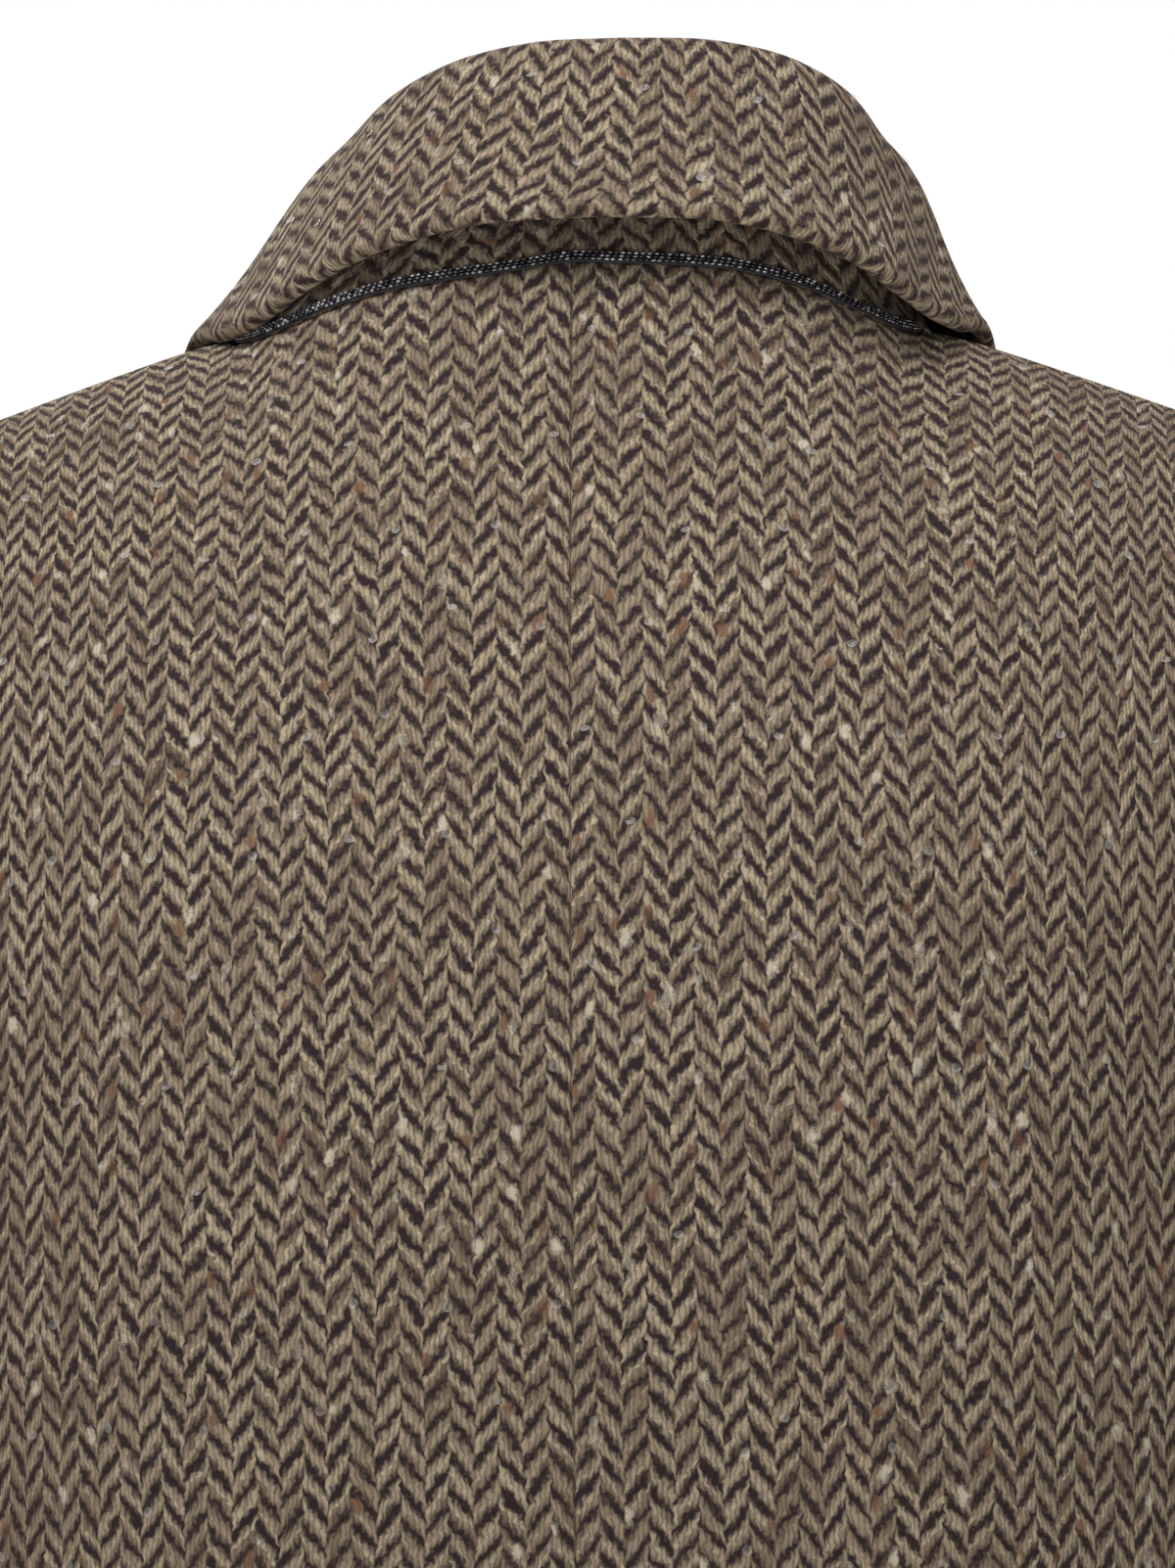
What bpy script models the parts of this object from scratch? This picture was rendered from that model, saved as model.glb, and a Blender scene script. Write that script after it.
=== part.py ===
"""Double-breasted blazer in heavy herringbone tweed, worn and filled out, with nobody in it.

The cloth is a wall of one thickness through a body form worked out from a few sizes. Each cut
piece is its own solid: two backs, two sides, two fronts, two lapels, a two-layer collar, a
beaded neck trim, two-piece sleeves and six buttons.

Frame: the wearer faces -Y with the left arm at +X, and +Z is up. The origin is the middle of
the neck opening, level with the points where the shoulder seams meet the collar.
"""

import math

import bmesh
import bpy
import numpy as np
from mathutils import Vector

MM = 0.001

# ---------------------------------------------------------------- driving sizes
CLOTH = 2.3 * MM  # wall of the heavy tweed
GAP = 0.3 * MM  # cut edge to cut edge at a seam, and layer to layer
LAYERS = 2 * CLOTH + GAP  # a collar or lapel: two cloths, wrong sides together

HEM_Z = -680 * MM
ARMPIT_Z = -222 * MM  # where the side seams reach the armhole
ARMHOLE_DIP = 12 * MM  # the armhole's lowest point, below the side seams' tops
BLADE_Z = -245 * MM  # shoulder-blade level, where the body is at its full depth
SQUARENESS = 2.4  # exponent of the body's oval sections
SIDE_SHARE = 0.9  # the side seams lie at this share of the half width

NECK_HALF = 92 * MM  # half width of the neck opening
NECK_BACK = 66 * MM  # from the shoulder line back to the neck seam
NECK_FRONT = 83 * MM  # half depth of the oval that the front neck seam follows
NECK_SQUARENESS = 2.1
NECK_RISE = 112 * MM  # how far the back's curve would run up past the neck opening
NECK_RISE_POWER = 1.6
NECK_SAG = {"left": 6 * MM, "right": 2.4 * MM}  # dip of each half of the back neck seam
SAG_SKEW = 0.6  # below 1, the dip's lowest point is nearer the centre back
GORGE_ANGLE = math.radians(52.5)  # round the front neck oval, to where the gorge begins

SHOULDER_HALF = 203 * MM  # to the sleeve-head seam
SHOULDER_SLOPE = 0.371
SHOULDER_BEND = 12 * MM  # softness of the bend where the shoulder leaves the neck
RIDGE_POWER = 0.62  # roundness of the shoulder's top, front to back

WRAP = 75 * MM  # each front runs this far past the centre
BREAK_Z = -340 * MM  # where the lapel's roll line meets the front edge
OVERLAP_LIFT = 6.2 * MM  # the right front rides over the left, out to out
OVERLAP_START = 145 * MM  # towards the side, where the lift begins
OVERLAP_FULL = 92 * MM
OVERLAP_TOP = -165 * MM  # the lift is full up to here, and fades out by the gorge
OVERLAP_FADE = 70 * MM

ROLL_RADIUS = 1.7 * MM  # inside the lapel's roll
LAPEL_CLEAR = 2.0 * MM  # under the lapel's outer edge

BODY_COLUMNS = ("height", "half_width", "back_depth", "front_depth")
BODY_ROWS = (
    (-680, 192, 124, 110),
    (-600, 188, 121, 108),
    (-510, 176, 112, 106),
    (-410, 158, 105, 105),
    (-350, 164, 117, 112),
    (-290, 172, 127, 119),
    (-222, 174, 127, 117),
    (-150, 196, 127, 116),
    (-80, 225, 127, 116),
    (0, 245, 127, 116),
    (90, 250, 127, 116),
)

# How far out the armhole seam lies, from the side seam's top (0) to the shoulder seam (1).
ARMHOLE_COLUMNS = ("rise", "back", "front")
ARMHOLE_ROWS = (
    (0.00, 156.6, 156.6),
    (0.25, 169, 160),
    (0.50, 180, 168),
    (0.75, 192, 184),
    (1.00, 203, 203),
)

# The collar's fold and outer edge, from the centre back (0) to the end at the gorge (1).
# The edge's height is where it hangs free; it stops LEAF_CLEAR above the cloth below it.
COLLAR_COLUMNS = ("station", "fold_x", "fold_y", "fold_z", "edge_x", "edge_y", "edge_z")
COLLAR_ROWS = (
    (0.00, 0, 43, 62, 0, 80, 9),
    (0.15, 23, 40, 61, 33, 76, 8),
    (0.30, 43, 30, 57, 63, 60, 3),
    (0.45, 58, 13, 50, 86, 33, 0),
    (0.58, 65, -8, 39, 101, -2, 0),
    (0.72, 66, -32, 20, 106, -32, -24),
    (0.86, 62, -53, -14, 107, -53, -52),
    (1.00, 54, -71, -57, 111, -70, -80),
)
LEAF_CLEAR = 2.6 * MM
COLLAR_LEAN = 11 * MM  # the fold leans this far to the wearer's right
LEAF_LEAN = 3 * MM  # and so does the leaf's edge behind the shoulders
FOLD_TOP = 62 * MM
COLLAR_NOTCH = (96.5 * MM, -83.5 * MM)  # on the chest, where the collar's end leaves the gorge
SHOULDER_STATION = 0.58  # where the collar crosses the shoulder seam

# Outline of the lapel's top on the chest: gorge end, then the point of the peak.
NOTCH = (99.5 * MM, -91 * MM)
PEAK = (137 * MM, -56 * MM)
LAPEL_BELLY = (112 * MM, -172 * MM)  # the outer edge bends towards this place

# The sleeve's sections below its head: middle, half breadths, and how far its plane tips.
SLEEVE_COLUMNS = ("height", "mid_x", "mid_y", "half_x", "half_y", "tip")
SLEEVE_ROWS = (
    (-262, 230, -3, 46.0, 62, 0.00),
    (-340, 232, -1, 44.5, 59, 0.03),
    (-420, 234, -2, 42.0, 54, 0.10),
    (-510, 239, -14, 39.5, 49, 0.18),
    (-585, 243, -29, 38.0, 46, 0.21),
    (-640, 245, -41, 37.0, 45, 0.22),
)
UNDER_SLEEVE = (math.radians(118), math.radians(238))  # round from the outer side, by the back
SLEEVE_HEAD_GAP = 1.6 * MM  # sleeve head to armhole edge

BUTTON_RADIUS = 15 * MM
BUTTON_THICK = 4.2 * MM
BUTTON_SIDES = 16
BUTTON_OFF = 0.5 * MM  # button to cloth
BUTTON_COLUMNS = ("side", "out", "height", "panel")
BUTTON_ROWS = (
    (1, 100, -273, "left"),
    (-1, 100, -273, "right"),
    (1, 60, -368, "right"),
    (-1, 60, -368, "right"),
    (1, 60, -463, "right"),
    (-1, 60, -463, "right"),
)

TRIM_HEIGHT = 4.4 * MM  # the beaded trim along the back neck seam
TRIM_THICK = 1.3 * MM
TRIM_OFF = 0.5 * MM  # trim to cloth
TRIM_END = 0.50  # collar station at which it ends

COLOURS = {
    "tweed": (0.16, 0.125, 0.095, 1),
    "beads": (0.10, 0.10, 0.11, 1),
    "horn": (0.045, 0.03, 0.022, 1),
}


# ---------------------------------------------------------------- short helpers
def column(names, rows, name):
    """One named column of a table, as an array."""
    place = names.index(name)
    return np.array([row[place] for row in rows], dtype=float)


def smooth(at, xs, ys):
    """A smooth curve through (xs, ys), read at the places asked for."""
    slopes = np.gradient(ys, xs)
    left = np.clip(np.searchsorted(xs, at) - 1, 0, len(xs) - 2)
    step = xs[left + 1] - xs[left]
    t = (at - xs[left]) / step
    start = (2 * t**3 - 3 * t**2 + 1) * ys[left] + (t**3 - 2 * t**2 + t) * step * slopes[left]
    end = (3 * t**2 - 2 * t**3) * ys[left + 1] + (t**3 - t**2) * step * slopes[left + 1]
    return start + end


def ease(t):
    """0 to 1, flat at both ends."""
    t = np.clip(t, 0, 1)
    return t * t * (3 - 2 * t)


def hermite(start, end, leaving, arriving, t):
    """A curve between two points with the given leaving and arriving directions."""
    return (
        (2 * t**3 - 3 * t**2 + 1) * start
        + (t**3 - 2 * t**2 + t) * leaving
        + (3 * t**2 - 2 * t**3) * end
        + (t**3 - t**2) * arriving
    )


def unit(vectors):
    return vectors / np.linalg.norm(vectors, axis=-1, keepdims=True)


def points(x, y, z):
    return np.stack(np.broadcast_arrays(x, y, z), axis=-1)


def body(name, z):
    heights = column(BODY_COLUMNS, BODY_ROWS, "height") * MM
    return smooth(z, heights, column(BODY_COLUMNS, BODY_ROWS, name) * MM)


# ---------------------------------------------------------------- the body form
def ridge(x):
    """Height of the shoulder's top at a distance x from the centre."""
    run = np.abs(x) - NECK_HALF
    soft = (run + np.sqrt(run**2 + SHOULDER_BEND**2)) / 2
    return SHOULDER_SLOPE * (SHOULDER_BEND / 2 - soft)


SIDE_LIMIT = 0.9995  # of the half width, where a section's depth still counts


def section(x, z, depth):
    """Depth of the body's oval section at height z, a distance x from the centre."""
    share = np.clip(np.abs(x) / body("half_width", z), 0, SIDE_LIMIT)
    return body(depth, z) * (1 - share**SQUARENESS) ** (1 / SQUARENESS)


def back_top(x):
    """The back's curve runs up past the neck opening, and ends at the ridge beside it."""
    inside = np.clip(1 - (x / NECK_HALF) ** 2, 0, 1)
    return ridge(x) + NECK_RISE * inside**NECK_RISE_POWER


def back_power(x):
    return 1 - (1 - RIDGE_POWER) * ease(np.abs(x) / NECK_HALF)


def fullness(z, top, power):
    """0 at the top, growing to 1 at the shoulder blades and below."""
    fall = np.clip((top - z) / (top - BLADE_Z), 0, 1)
    return (1 - (1 - fall) ** 2) ** power


def back_y(x, z):
    return section(x, z, "back_depth") * fullness(z, back_top(x), back_power(x))


def front_y(x, z, lift=0.0):
    over = lift * (1 - ease((x - OVERLAP_FULL) / (OVERLAP_START - OVERLAP_FULL)))
    over = over * (1 - ease((z - OVERLAP_TOP) / OVERLAP_FADE))
    return -section(x, z, "front_depth") * fullness(z, ridge(x), RIDGE_POWER) - over


def height_at(x, y, depth, top, power):
    """The inverse of the form: how high the surface is at a place in plan."""
    full = np.clip(np.abs(y) / section(x, 0.0, depth), 0, 1) ** (1 / power)
    return top - (top - BLADE_Z) * (1 - np.sqrt(1 - full))


def height_over(x, y):
    """Height of the upper body's cloth at a place in plan, back or front."""
    behind = height_at(x, y, "back_depth", back_top(x), back_power(x))
    before = height_at(x, y, "front_depth", ridge(x), RIDGE_POWER)
    return np.where(y > 0, behind, before)


def neck_seam(station, sag=0.0):
    """The neck seam, from the centre back (0) past the shoulder to the gorge (1)."""
    turn = np.clip(station / SHOULDER_STATION, 0, 1) * math.pi / 2
    share = 2 / NECK_SQUARENESS
    x_back = NECK_HALF * np.sin(turn) ** share
    y_back = NECK_BACK * np.abs(np.cos(turn)) ** share
    z_back = height_at(x_back, y_back, "back_depth", back_top(x_back), back_power(x_back))
    dip = (np.clip(station, 0, SHOULDER_STATION) / SHOULDER_STATION) ** SAG_SKEW
    z_back = z_back - sag * np.sin(math.pi * dip) ** 2
    y_back = back_y(x_back, z_back)
    past = np.clip((station - SHOULDER_STATION) / (1 - SHOULDER_STATION), 0, 1)
    angle = past * GORGE_ANGLE
    x_front = NECK_HALF * np.cos(angle)
    y_front = -NECK_FRONT * np.sin(angle)
    z_front = height_at(x_front, y_front, "front_depth", ridge(x_front), RIDGE_POWER)
    behind = station <= SHOULDER_STATION
    return points(
        np.where(behind, x_back, x_front),
        np.where(behind, y_back, y_front),
        np.where(behind, z_back, z_front),
    )


GORGE_START = neck_seam(np.array(1.0))  # where neck seam, roll line and gorge meet


def roll_line_x(z):
    """The lapel's roll line on the chest, from the front edge up to the gorge."""
    climb = (z - BREAK_Z) / (GORGE_START[2] - BREAK_Z)
    return -WRAP + climb * (GORGE_START[0] + WRAP)


# ---------------------------------------------------------------- walls of cloth
def normals(surface, u, v, outward):
    """Unit normals of a surface, found from small steps that stay on it."""
    step = 1e-4
    low_u, high_u = np.clip(u - step, 0, 1), np.clip(u + step, 0, 1)
    low_v, high_v = np.clip(v - step, 0, 1), np.clip(v + step, 0, 1)
    along_u = surface(high_u, v) - surface(low_u, v)
    along_v = surface(u, high_v) - surface(u, low_v)
    return outward * unit(np.cross(along_u, along_v))


def shell_mesh(name, top, under):
    """A closed solid between two grids of points, with a rim round its edge."""
    rows, cols = top.shape[:2]
    shell = bmesh.new()
    skins = [[[shell.verts.new(p) for p in row] for row in grid] for grid in (top, under)]
    for skin in skins:
        for r in range(rows - 1):
            for c in range(cols - 1):
                shell.faces.new(
                    (skin[r][c], skin[r][c + 1], skin[r + 1][c + 1], skin[r + 1][c])
                )
    edge = [(0, c) for c in range(cols)]
    edge += [(r, cols - 1) for r in range(1, rows)]
    edge += [(rows - 1, c) for c in range(cols - 2, -1, -1)]
    edge += [(r, 0) for r in range(rows - 2, 0, -1)]
    for here, there in zip(edge, edge[1:] + edge[:1]):
        corners = [skins[0][here[0]][here[1]], skins[0][there[0]][there[1]]]
        corners += [skins[1][there[0]][there[1]], skins[1][here[0]][here[1]]]
        shell.faces.new(corners)
    bmesh.ops.recalc_face_normals(shell, faces=shell.faces)
    mesh = bpy.data.meshes.new(name)
    shell.to_mesh(mesh)
    shell.free()
    return mesh


def cloth(name, surface, across, along, depths, outward=1, side=1, material="tweed"):
    """A cut piece: the wall between two depths off surface(u, v), mirrored by side."""
    u, v = np.meshgrid(np.array(across, dtype=float), np.array(along, dtype=float))
    skin = surface(u, v)
    away = normals(surface, u, v, outward)
    mirror = np.array((side, 1, 1))
    top, under = ((skin + depth * away) * mirror for depth in depths)
    return add_piece(name, shell_mesh(name, top, under), material)


def add_piece(name, mesh, material):
    piece = bpy.data.objects.new(name, mesh)
    blazer.objects.link(piece)
    mesh.materials.append(materials[material])
    mesh.shade_smooth()
    mesh.set_sharp_from_angle(angle=math.radians(50))
    return piece


def make_material(name, colour, roughness, metallic=0.0):
    material = bpy.data.materials.new(name)
    material.use_nodes = True
    shader = material.node_tree.nodes["Principled BSDF"]
    shader.inputs["Base Color"].default_value = colour
    shader.inputs["Roughness"].default_value = roughness
    shader.inputs["Metallic"].default_value = metallic
    return material


# ---------------------------------------------------------------- rows and columns
LOWER_SHARE = 0.55  # share of a panel's rows that lie below the armpit
LOWER_ROWS = 12
UPPER_ROWS = 9
ROW_CROWD = 1.8  # above 1, the upper rows crowd towards the shoulder
EDGE_MARGIN = 0.1 * MM  # half the gap at a side seam, across the body


def panel_rows():
    """Even rows below the armpit, then rows that crowd towards the shoulder."""
    lower = np.linspace(0, LOWER_SHARE, LOWER_ROWS)
    rise = 1 - (1 - np.linspace(0, 1, UPPER_ROWS + 1)[1:]) ** ROW_CROWD
    return np.concatenate((lower, LOWER_SHARE + (1 - LOWER_SHARE) * rise))


def lower_height(v, top=ARMPIT_Z):
    return HEM_Z + np.clip(v / LOWER_SHARE, 0, 1) * (top - HEM_Z)


def rise_of(v):
    return np.clip((v - LOWER_SHARE) / (1 - LOWER_SHARE), 0, 1)


def armhole_x(rise, panel):
    rises = column(ARMHOLE_COLUMNS, ARMHOLE_ROWS, "rise")
    return smooth(rise, rises, column(ARMHOLE_COLUMNS, ARMHOLE_ROWS, panel) * MM)


def outer_edge_x(v, panel):
    """The panel's outer edge: its side seam, then the armhole."""
    lower = SIDE_SHARE * body("half_width", lower_height(v))
    return np.where(v < LOWER_SHARE, lower, armhole_x(rise_of(v), panel)) - EDGE_MARGIN


# ---------------------------------------------------------------- backs and sides
NECK_COLUMNS = 9  # along half of the back neck, shared by back and collar
SHOULDER_SEAM_COLUMNS = 6
SIDE_COLUMNS = 6
SEAM_HIDE = 0.012 * MM  # the shoulder seam's edges stop this far below the ridge


def back_top_z(x, sag):
    """The back's top edge: the neck seam, then the shoulder seam."""
    turn = np.arcsin(np.clip(x / NECK_HALF, 0, 1) ** (NECK_SQUARENESS / 2))
    neck = neck_seam(SHOULDER_STATION * turn / (math.pi / 2), sag)[..., 2]
    return np.where(x < NECK_HALF, neck, ridge(x) - SEAM_HIDE)


def back_surface(sag):
    def surface(u, v):
        """A back, across from the centre seam and up from the hem."""
        edge = outer_edge_x(v, "back")
        x = GAP / 2 + u * (edge - GAP / 2)
        x_at_top = u * (SHOULDER_HALF - EDGE_MARGIN)
        upper = ARMPIT_Z + rise_of(v) * (back_top_z(x_at_top, sag) - ARMPIT_Z)
        z = np.where(v < LOWER_SHARE, lower_height(v), upper)
        return points(x, back_y(x, z), z)

    return surface


def side_surface(u, v):
    """A side body, round from its back seam to its front seam."""
    dip = ARMPIT_Z - ARMHOLE_DIP * np.sin(math.pi * u)
    z = HEM_Z + v * (dip - HEM_Z)
    half = body("half_width", z)
    start = np.arccos((SIDE_SHARE + EDGE_MARGIN / half) ** (SQUARENESS / 2))
    angle = start * (1 - 2 * u)
    share = 2 / SQUARENESS
    x = half * np.cos(angle) ** share
    swing = np.abs(np.sin(angle)) ** share
    depth = np.where(angle > 0, body("back_depth", z), -body("front_depth", z))
    full = np.where(
        angle > 0,
        fullness(z, back_top(x), back_power(x)),
        fullness(z, ridge(x), RIDGE_POWER),
    )
    return points(x, depth * swing * full, z)


def build_backs_and_sides():
    on_neck = neck_seam(np.linspace(0, SHOULDER_STATION, NECK_COLUMNS))[:, 0] / SHOULDER_HALF
    on_shoulder = np.linspace(on_neck[-1], 1, SHOULDER_SEAM_COLUMNS)
    back_across = np.concatenate((on_neck, on_shoulder[1:]))
    side_across = np.linspace(0, 1, SIDE_COLUMNS)
    side_rows = np.linspace(0, 1, LOWER_ROWS)
    for side, word in ((1, "left"), (-1, "right")):
        back = back_surface(NECK_SAG[word])
        cloth(f"back_{word}", back, back_across, panel_rows(), (0, -CLOTH), -1, side)
        cloth(f"side_{word}", side_surface, side_across, side_rows, (0, -CLOTH), -1, side)


# ---------------------------------------------------------------- fronts
SHOULDER_COLUMNS = 0.5  # share of a front's columns that end on the shoulder seam
FRONT_EDGE_GAP = 0.35 * MM
GORGE_COLUMNS = 10  # along the front neck, shared by front and collar


def front_top(u):
    """The front's top edge on the chest: the shoulder seam, then the neck seam."""
    out = np.clip(u / SHOULDER_COLUMNS, 0, 1)
    x_shoulder = SHOULDER_HALF - EDGE_MARGIN + out * (NECK_HALF - SHOULDER_HALF)
    past = np.clip((u - SHOULDER_COLUMNS) / (1 - SHOULDER_COLUMNS), 0, 1)
    neck = neck_seam(SHOULDER_STATION + past * (1 - SHOULDER_STATION))
    x = np.where(u < SHOULDER_COLUMNS, x_shoulder, neck[..., 0])
    return x, np.where(u < SHOULDER_COLUMNS, ridge(x) - SEAM_HIDE, neck[..., 2] - SEAM_HIDE)


def front_chart(u, v):
    """Where a front's points lie as seen from the front: across and height."""
    low_z = lower_height(v)
    inner_low = np.where(low_z < BREAK_Z, -WRAP, roll_line_x(low_z)) + FRONT_EDGE_GAP
    outer = outer_edge_x(v, "front")
    low_x = outer + u * (inner_low - outer)

    rise = rise_of(v)
    roll_z = ARMPIT_Z + rise * (GORGE_START[2] - ARMPIT_Z)
    roll_x = roll_line_x(roll_z) + FRONT_EDGE_GAP
    arm_z = ARMPIT_Z + rise * (ridge(np.array(SHOULDER_HALF)) - ARMPIT_Z)
    top_x, top_z = front_top(u)
    tip_x, tip_z = front_top(np.zeros_like(u))
    end_x, end_z = front_top(np.ones_like(u))
    base_edge = outer_edge_x(np.full_like(v, LOWER_SHARE), "front")
    base_roll = roll_line_x(np.full_like(v, ARMPIT_Z)) + FRONT_EDGE_GAP
    base_x = base_edge + u * (base_roll - base_edge)
    up_x = (1 - u) * outer + u * roll_x + (1 - rise) * base_x + rise * top_x
    up_x -= (1 - rise) * base_x + rise * ((1 - u) * tip_x + u * (end_x + FRONT_EDGE_GAP))
    up_z = (1 - u) * arm_z + u * roll_z + rise * top_z
    up_z -= rise * ((1 - u) * tip_z + u * end_z)
    below = v < LOWER_SHARE
    return np.where(below, low_x, up_x), np.where(below, low_z, up_z)


def front_surface(lift):
    def surface(u, v):
        x, z = front_chart(u, v)
        return points(x, front_y(x, z, lift), z)

    return surface


def build_fronts():
    on_shoulder = np.linspace(0, SHOULDER_COLUMNS, SHOULDER_SEAM_COLUMNS)
    on_neck = np.linspace(SHOULDER_COLUMNS, 1, GORGE_COLUMNS)
    across = np.concatenate((on_shoulder, on_neck[1:]))
    break_row = LOWER_SHARE * (BREAK_Z - HEM_Z) / (ARMPIT_Z - HEM_Z)
    rows = panel_rows()
    rows[np.argmin(np.abs(rows - break_row))] = break_row
    for side, word in ((1, "left"), (-1, "right")):
        lift = OVERLAP_LIFT if word == "right" else 0.0
        cloth(f"front_{word}", front_surface(lift), across, rows, (0, -CLOTH), -1, side)


# ---------------------------------------------------------------- lapels
TURN_SHARE = 0.3  # share of a lapel's columns that go round its roll
LAPEL_START = 9 * MM  # above the break, where the lapel has its first width
LAPEL_ROWS = {"left": 10, "right": 15}
UNDERLAP = 10 * MM  # the left lapel ends this far from the right one's roll line
GORGE_DROP = 10 * MM  # the roll ends this far below the collar
CURVE_SAMPLES = 400
LAPEL_NOTCH = 0.6  # share of the lapel's top that is gorge
TANGENT_STEP = 0.05 * MM
CHART_STEP = 0.002


def on_front(x, z, lift, off):
    """A point of the front, and moved off it along its normal."""
    here = points(x, front_y(x, z, lift), z)
    beside = x + TANGENT_STEP
    below = z - TANGENT_STEP
    across = points(beside, front_y(beside, z, lift), z) - here
    up = points(x, front_y(x, below, lift), below) - here
    normal = unit(np.cross(across, up))
    normal *= -np.sign(normal[..., 1:2])
    return here + normal * np.asarray(off)[..., None], normal


def lapel_outer_edge(t):
    """The lapel's free edge as seen from the front, from the break (0) to the peak (1)."""
    corners = ((-WRAP, BREAK_Z), LAPEL_BELLY, PEAK)
    weights = ((1 - t) ** 2, 2 * t * (1 - t), t**2)
    return [sum(w * corner[i] for w, corner in zip(weights, corners)) for i in range(2)]


def lapel_bottom(word):
    """Where the lapel's lowest row starts: a height on its roll, a share of its free edge."""
    if word == "right":
        return BREAK_Z + LAPEL_START, LAPEL_START / (PEAK[1] - BREAK_Z)
    heights = np.linspace(BREAK_Z, GORGE_START[2], CURVE_SAMPLES)
    at_roll = heights[np.argmin(np.abs(2 * roll_line_x(heights) - UNDERLAP))]
    shares = np.linspace(0, 1, CURVE_SAMPLES)
    edge_x, edge_z = lapel_outer_edge(shares)
    at_edge = shares[np.argmin(np.abs(edge_x + roll_line_x(edge_z) - UNDERLAP))]
    return at_roll, at_edge


def lapel_surface(word, lift):
    """The lapel's inner skin: round the roll, then back over the front."""
    roll_low, edge_low = lapel_bottom(word)
    roll_top = GORGE_START[2] - GORGE_DROP
    gorge = (roll_line_x(roll_top), roll_top)

    def chart(w, v):
        roll_z = roll_low + v * (gorge[1] - roll_low)
        edge_x, edge_z = lapel_outer_edge(edge_low + v * (1 - edge_low))
        roll_x = roll_line_x(roll_z)
        first = np.clip(w / LAPEL_NOTCH, 0, 1)
        second = np.clip((w - LAPEL_NOTCH) / (1 - LAPEL_NOTCH), 0, 1)
        top_x = gorge[0] + first * (NOTCH[0] - gorge[0]) + second * (PEAK[0] - NOTCH[0])
        top_z = gorge[1] + first * (NOTCH[1] - gorge[1]) + second * (PEAK[1] - NOTCH[1])
        straight_x = gorge[0] + w * (PEAK[0] - gorge[0])
        straight_z = gorge[1] + w * (PEAK[1] - gorge[1])
        x = roll_x + w * (edge_x - roll_x) + v * (top_x - straight_x)
        z = roll_z + w * (edge_z - roll_z) + v * (top_z - straight_z)
        return x, z

    def surface(u, v):
        turn = np.clip(u / TURN_SHARE, 0, 1) * math.pi
        w = np.clip((u - TURN_SHARE) / (1 - TURN_SHARE), 0, 1)
        x, z = chart(w, v)
        off = 2 * ROLL_RADIUS + (LAPEL_CLEAR - 2 * ROLL_RADIUS) * ease(w)
        flat, normal = on_front(x, z, lift, off)
        ahead_x, ahead_z = chart(np.clip(w + CHART_STEP, 0, 1), v)
        behind_x, behind_z = chart(np.clip(w - CHART_STEP, 0, 1), v)
        forward = points(ahead_x - behind_x, 0 * x, ahead_z - behind_z)
        opening = -unit(forward - np.sum(forward * normal, -1, keepdims=True) * normal)
        root, _ = on_front(x, z, lift, 0 * x)
        arc = root + normal * (ROLL_RADIUS * (1 - np.cos(turn)))[..., None]
        arc += opening * (ROLL_RADIUS * np.sin(turn))[..., None]
        return np.where((u < TURN_SHARE)[..., None], arc, flat)

    return surface


def build_lapels():
    notch_at = TURN_SHARE + LAPEL_NOTCH * (1 - TURN_SHARE)
    turn = np.linspace(0, TURN_SHARE, 6)
    flat = np.linspace(TURN_SHARE, notch_at, 5)
    peak = np.linspace(notch_at, 1, 4)
    across = np.concatenate((turn, flat[1:], peak[1:]))
    for side, word in ((1, "left"), (-1, "right")):
        lift = OVERLAP_LIFT if word == "right" else 0.0
        rows = np.linspace(0, 1, LAPEL_ROWS[word])
        surface = lapel_surface(word, lift)
        cloth(f"lapel_{word}", surface, across, rows, (0, LAYERS), 1, side)


# ---------------------------------------------------------------- collar and neck trim
TRIM_COLUMNS = 25
STAND_SHARE = 0.46  # share of a collar section that is stand
FOLD_PULL = 0.55  # how wide the fold rolls
COLLAR_NOTCH_SHARE = 0.72  # share of the leaf's end that is gorge
LEAF_COLUMNS = (0.09, 0.22, 0.38, 0.55, COLLAR_NOTCH_SHARE, 0.86, 1)
COLLAR_END = 0.985  # the collar stops just short of the lapel's roll
NOTCH_REACH = 0.84  # station from which the leaf bends towards the notch


def collar_guides(station, half):
    """Neck seam, fold and outer edge at a station, with the sag of the half it is for."""
    stations = column(COLLAR_COLUMNS, COLLAR_ROWS, "station")
    read = {
        name: smooth(station, stations, column(COLLAR_COLUMNS, COLLAR_ROWS, name) * MM)
        for name in COLLAR_COLUMNS[1:]
    }
    fold = points(read["fold_x"], read["fold_y"], read["fold_z"])
    x, y = read["edge_x"], read["edge_y"]
    edge = points(x, y, np.maximum(read["edge_z"], height_over(x, y) + LEAF_CLEAR))
    sag = np.where(half < 0, NECK_SAG["right"], NECK_SAG["left"])
    return neck_seam(station, sag), fold, edge


def collar_strip(u, station, half):
    """A collar section, up the stand and down the leaf, as it lies on the left half."""
    seam, fold, edge = collar_guides(station, half)
    rising, falling = fold - seam, edge - fold
    over = unit(unit(rising) + unit(falling))
    seam = seam + unit(rising) * GAP
    stand_length = np.linalg.norm(rising, axis=-1, keepdims=True)
    leaf_length = np.linalg.norm(falling, axis=-1, keepdims=True)
    t_stand = np.clip(u / STAND_SHARE, 0, 1)[..., None]
    t_leaf = leaf_share(u)[..., None]
    stand = hermite(seam, fold, rising, over * stand_length * FOLD_PULL, t_stand)
    leaf = hermite(fold, edge, over * leaf_length * FOLD_PULL, falling, t_leaf)
    return np.where((u < STAND_SHARE)[..., None], stand, leaf)


def leaf_share(u):
    return np.clip((u - STAND_SHARE) / (1 - STAND_SHARE), 0, 1)


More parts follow.
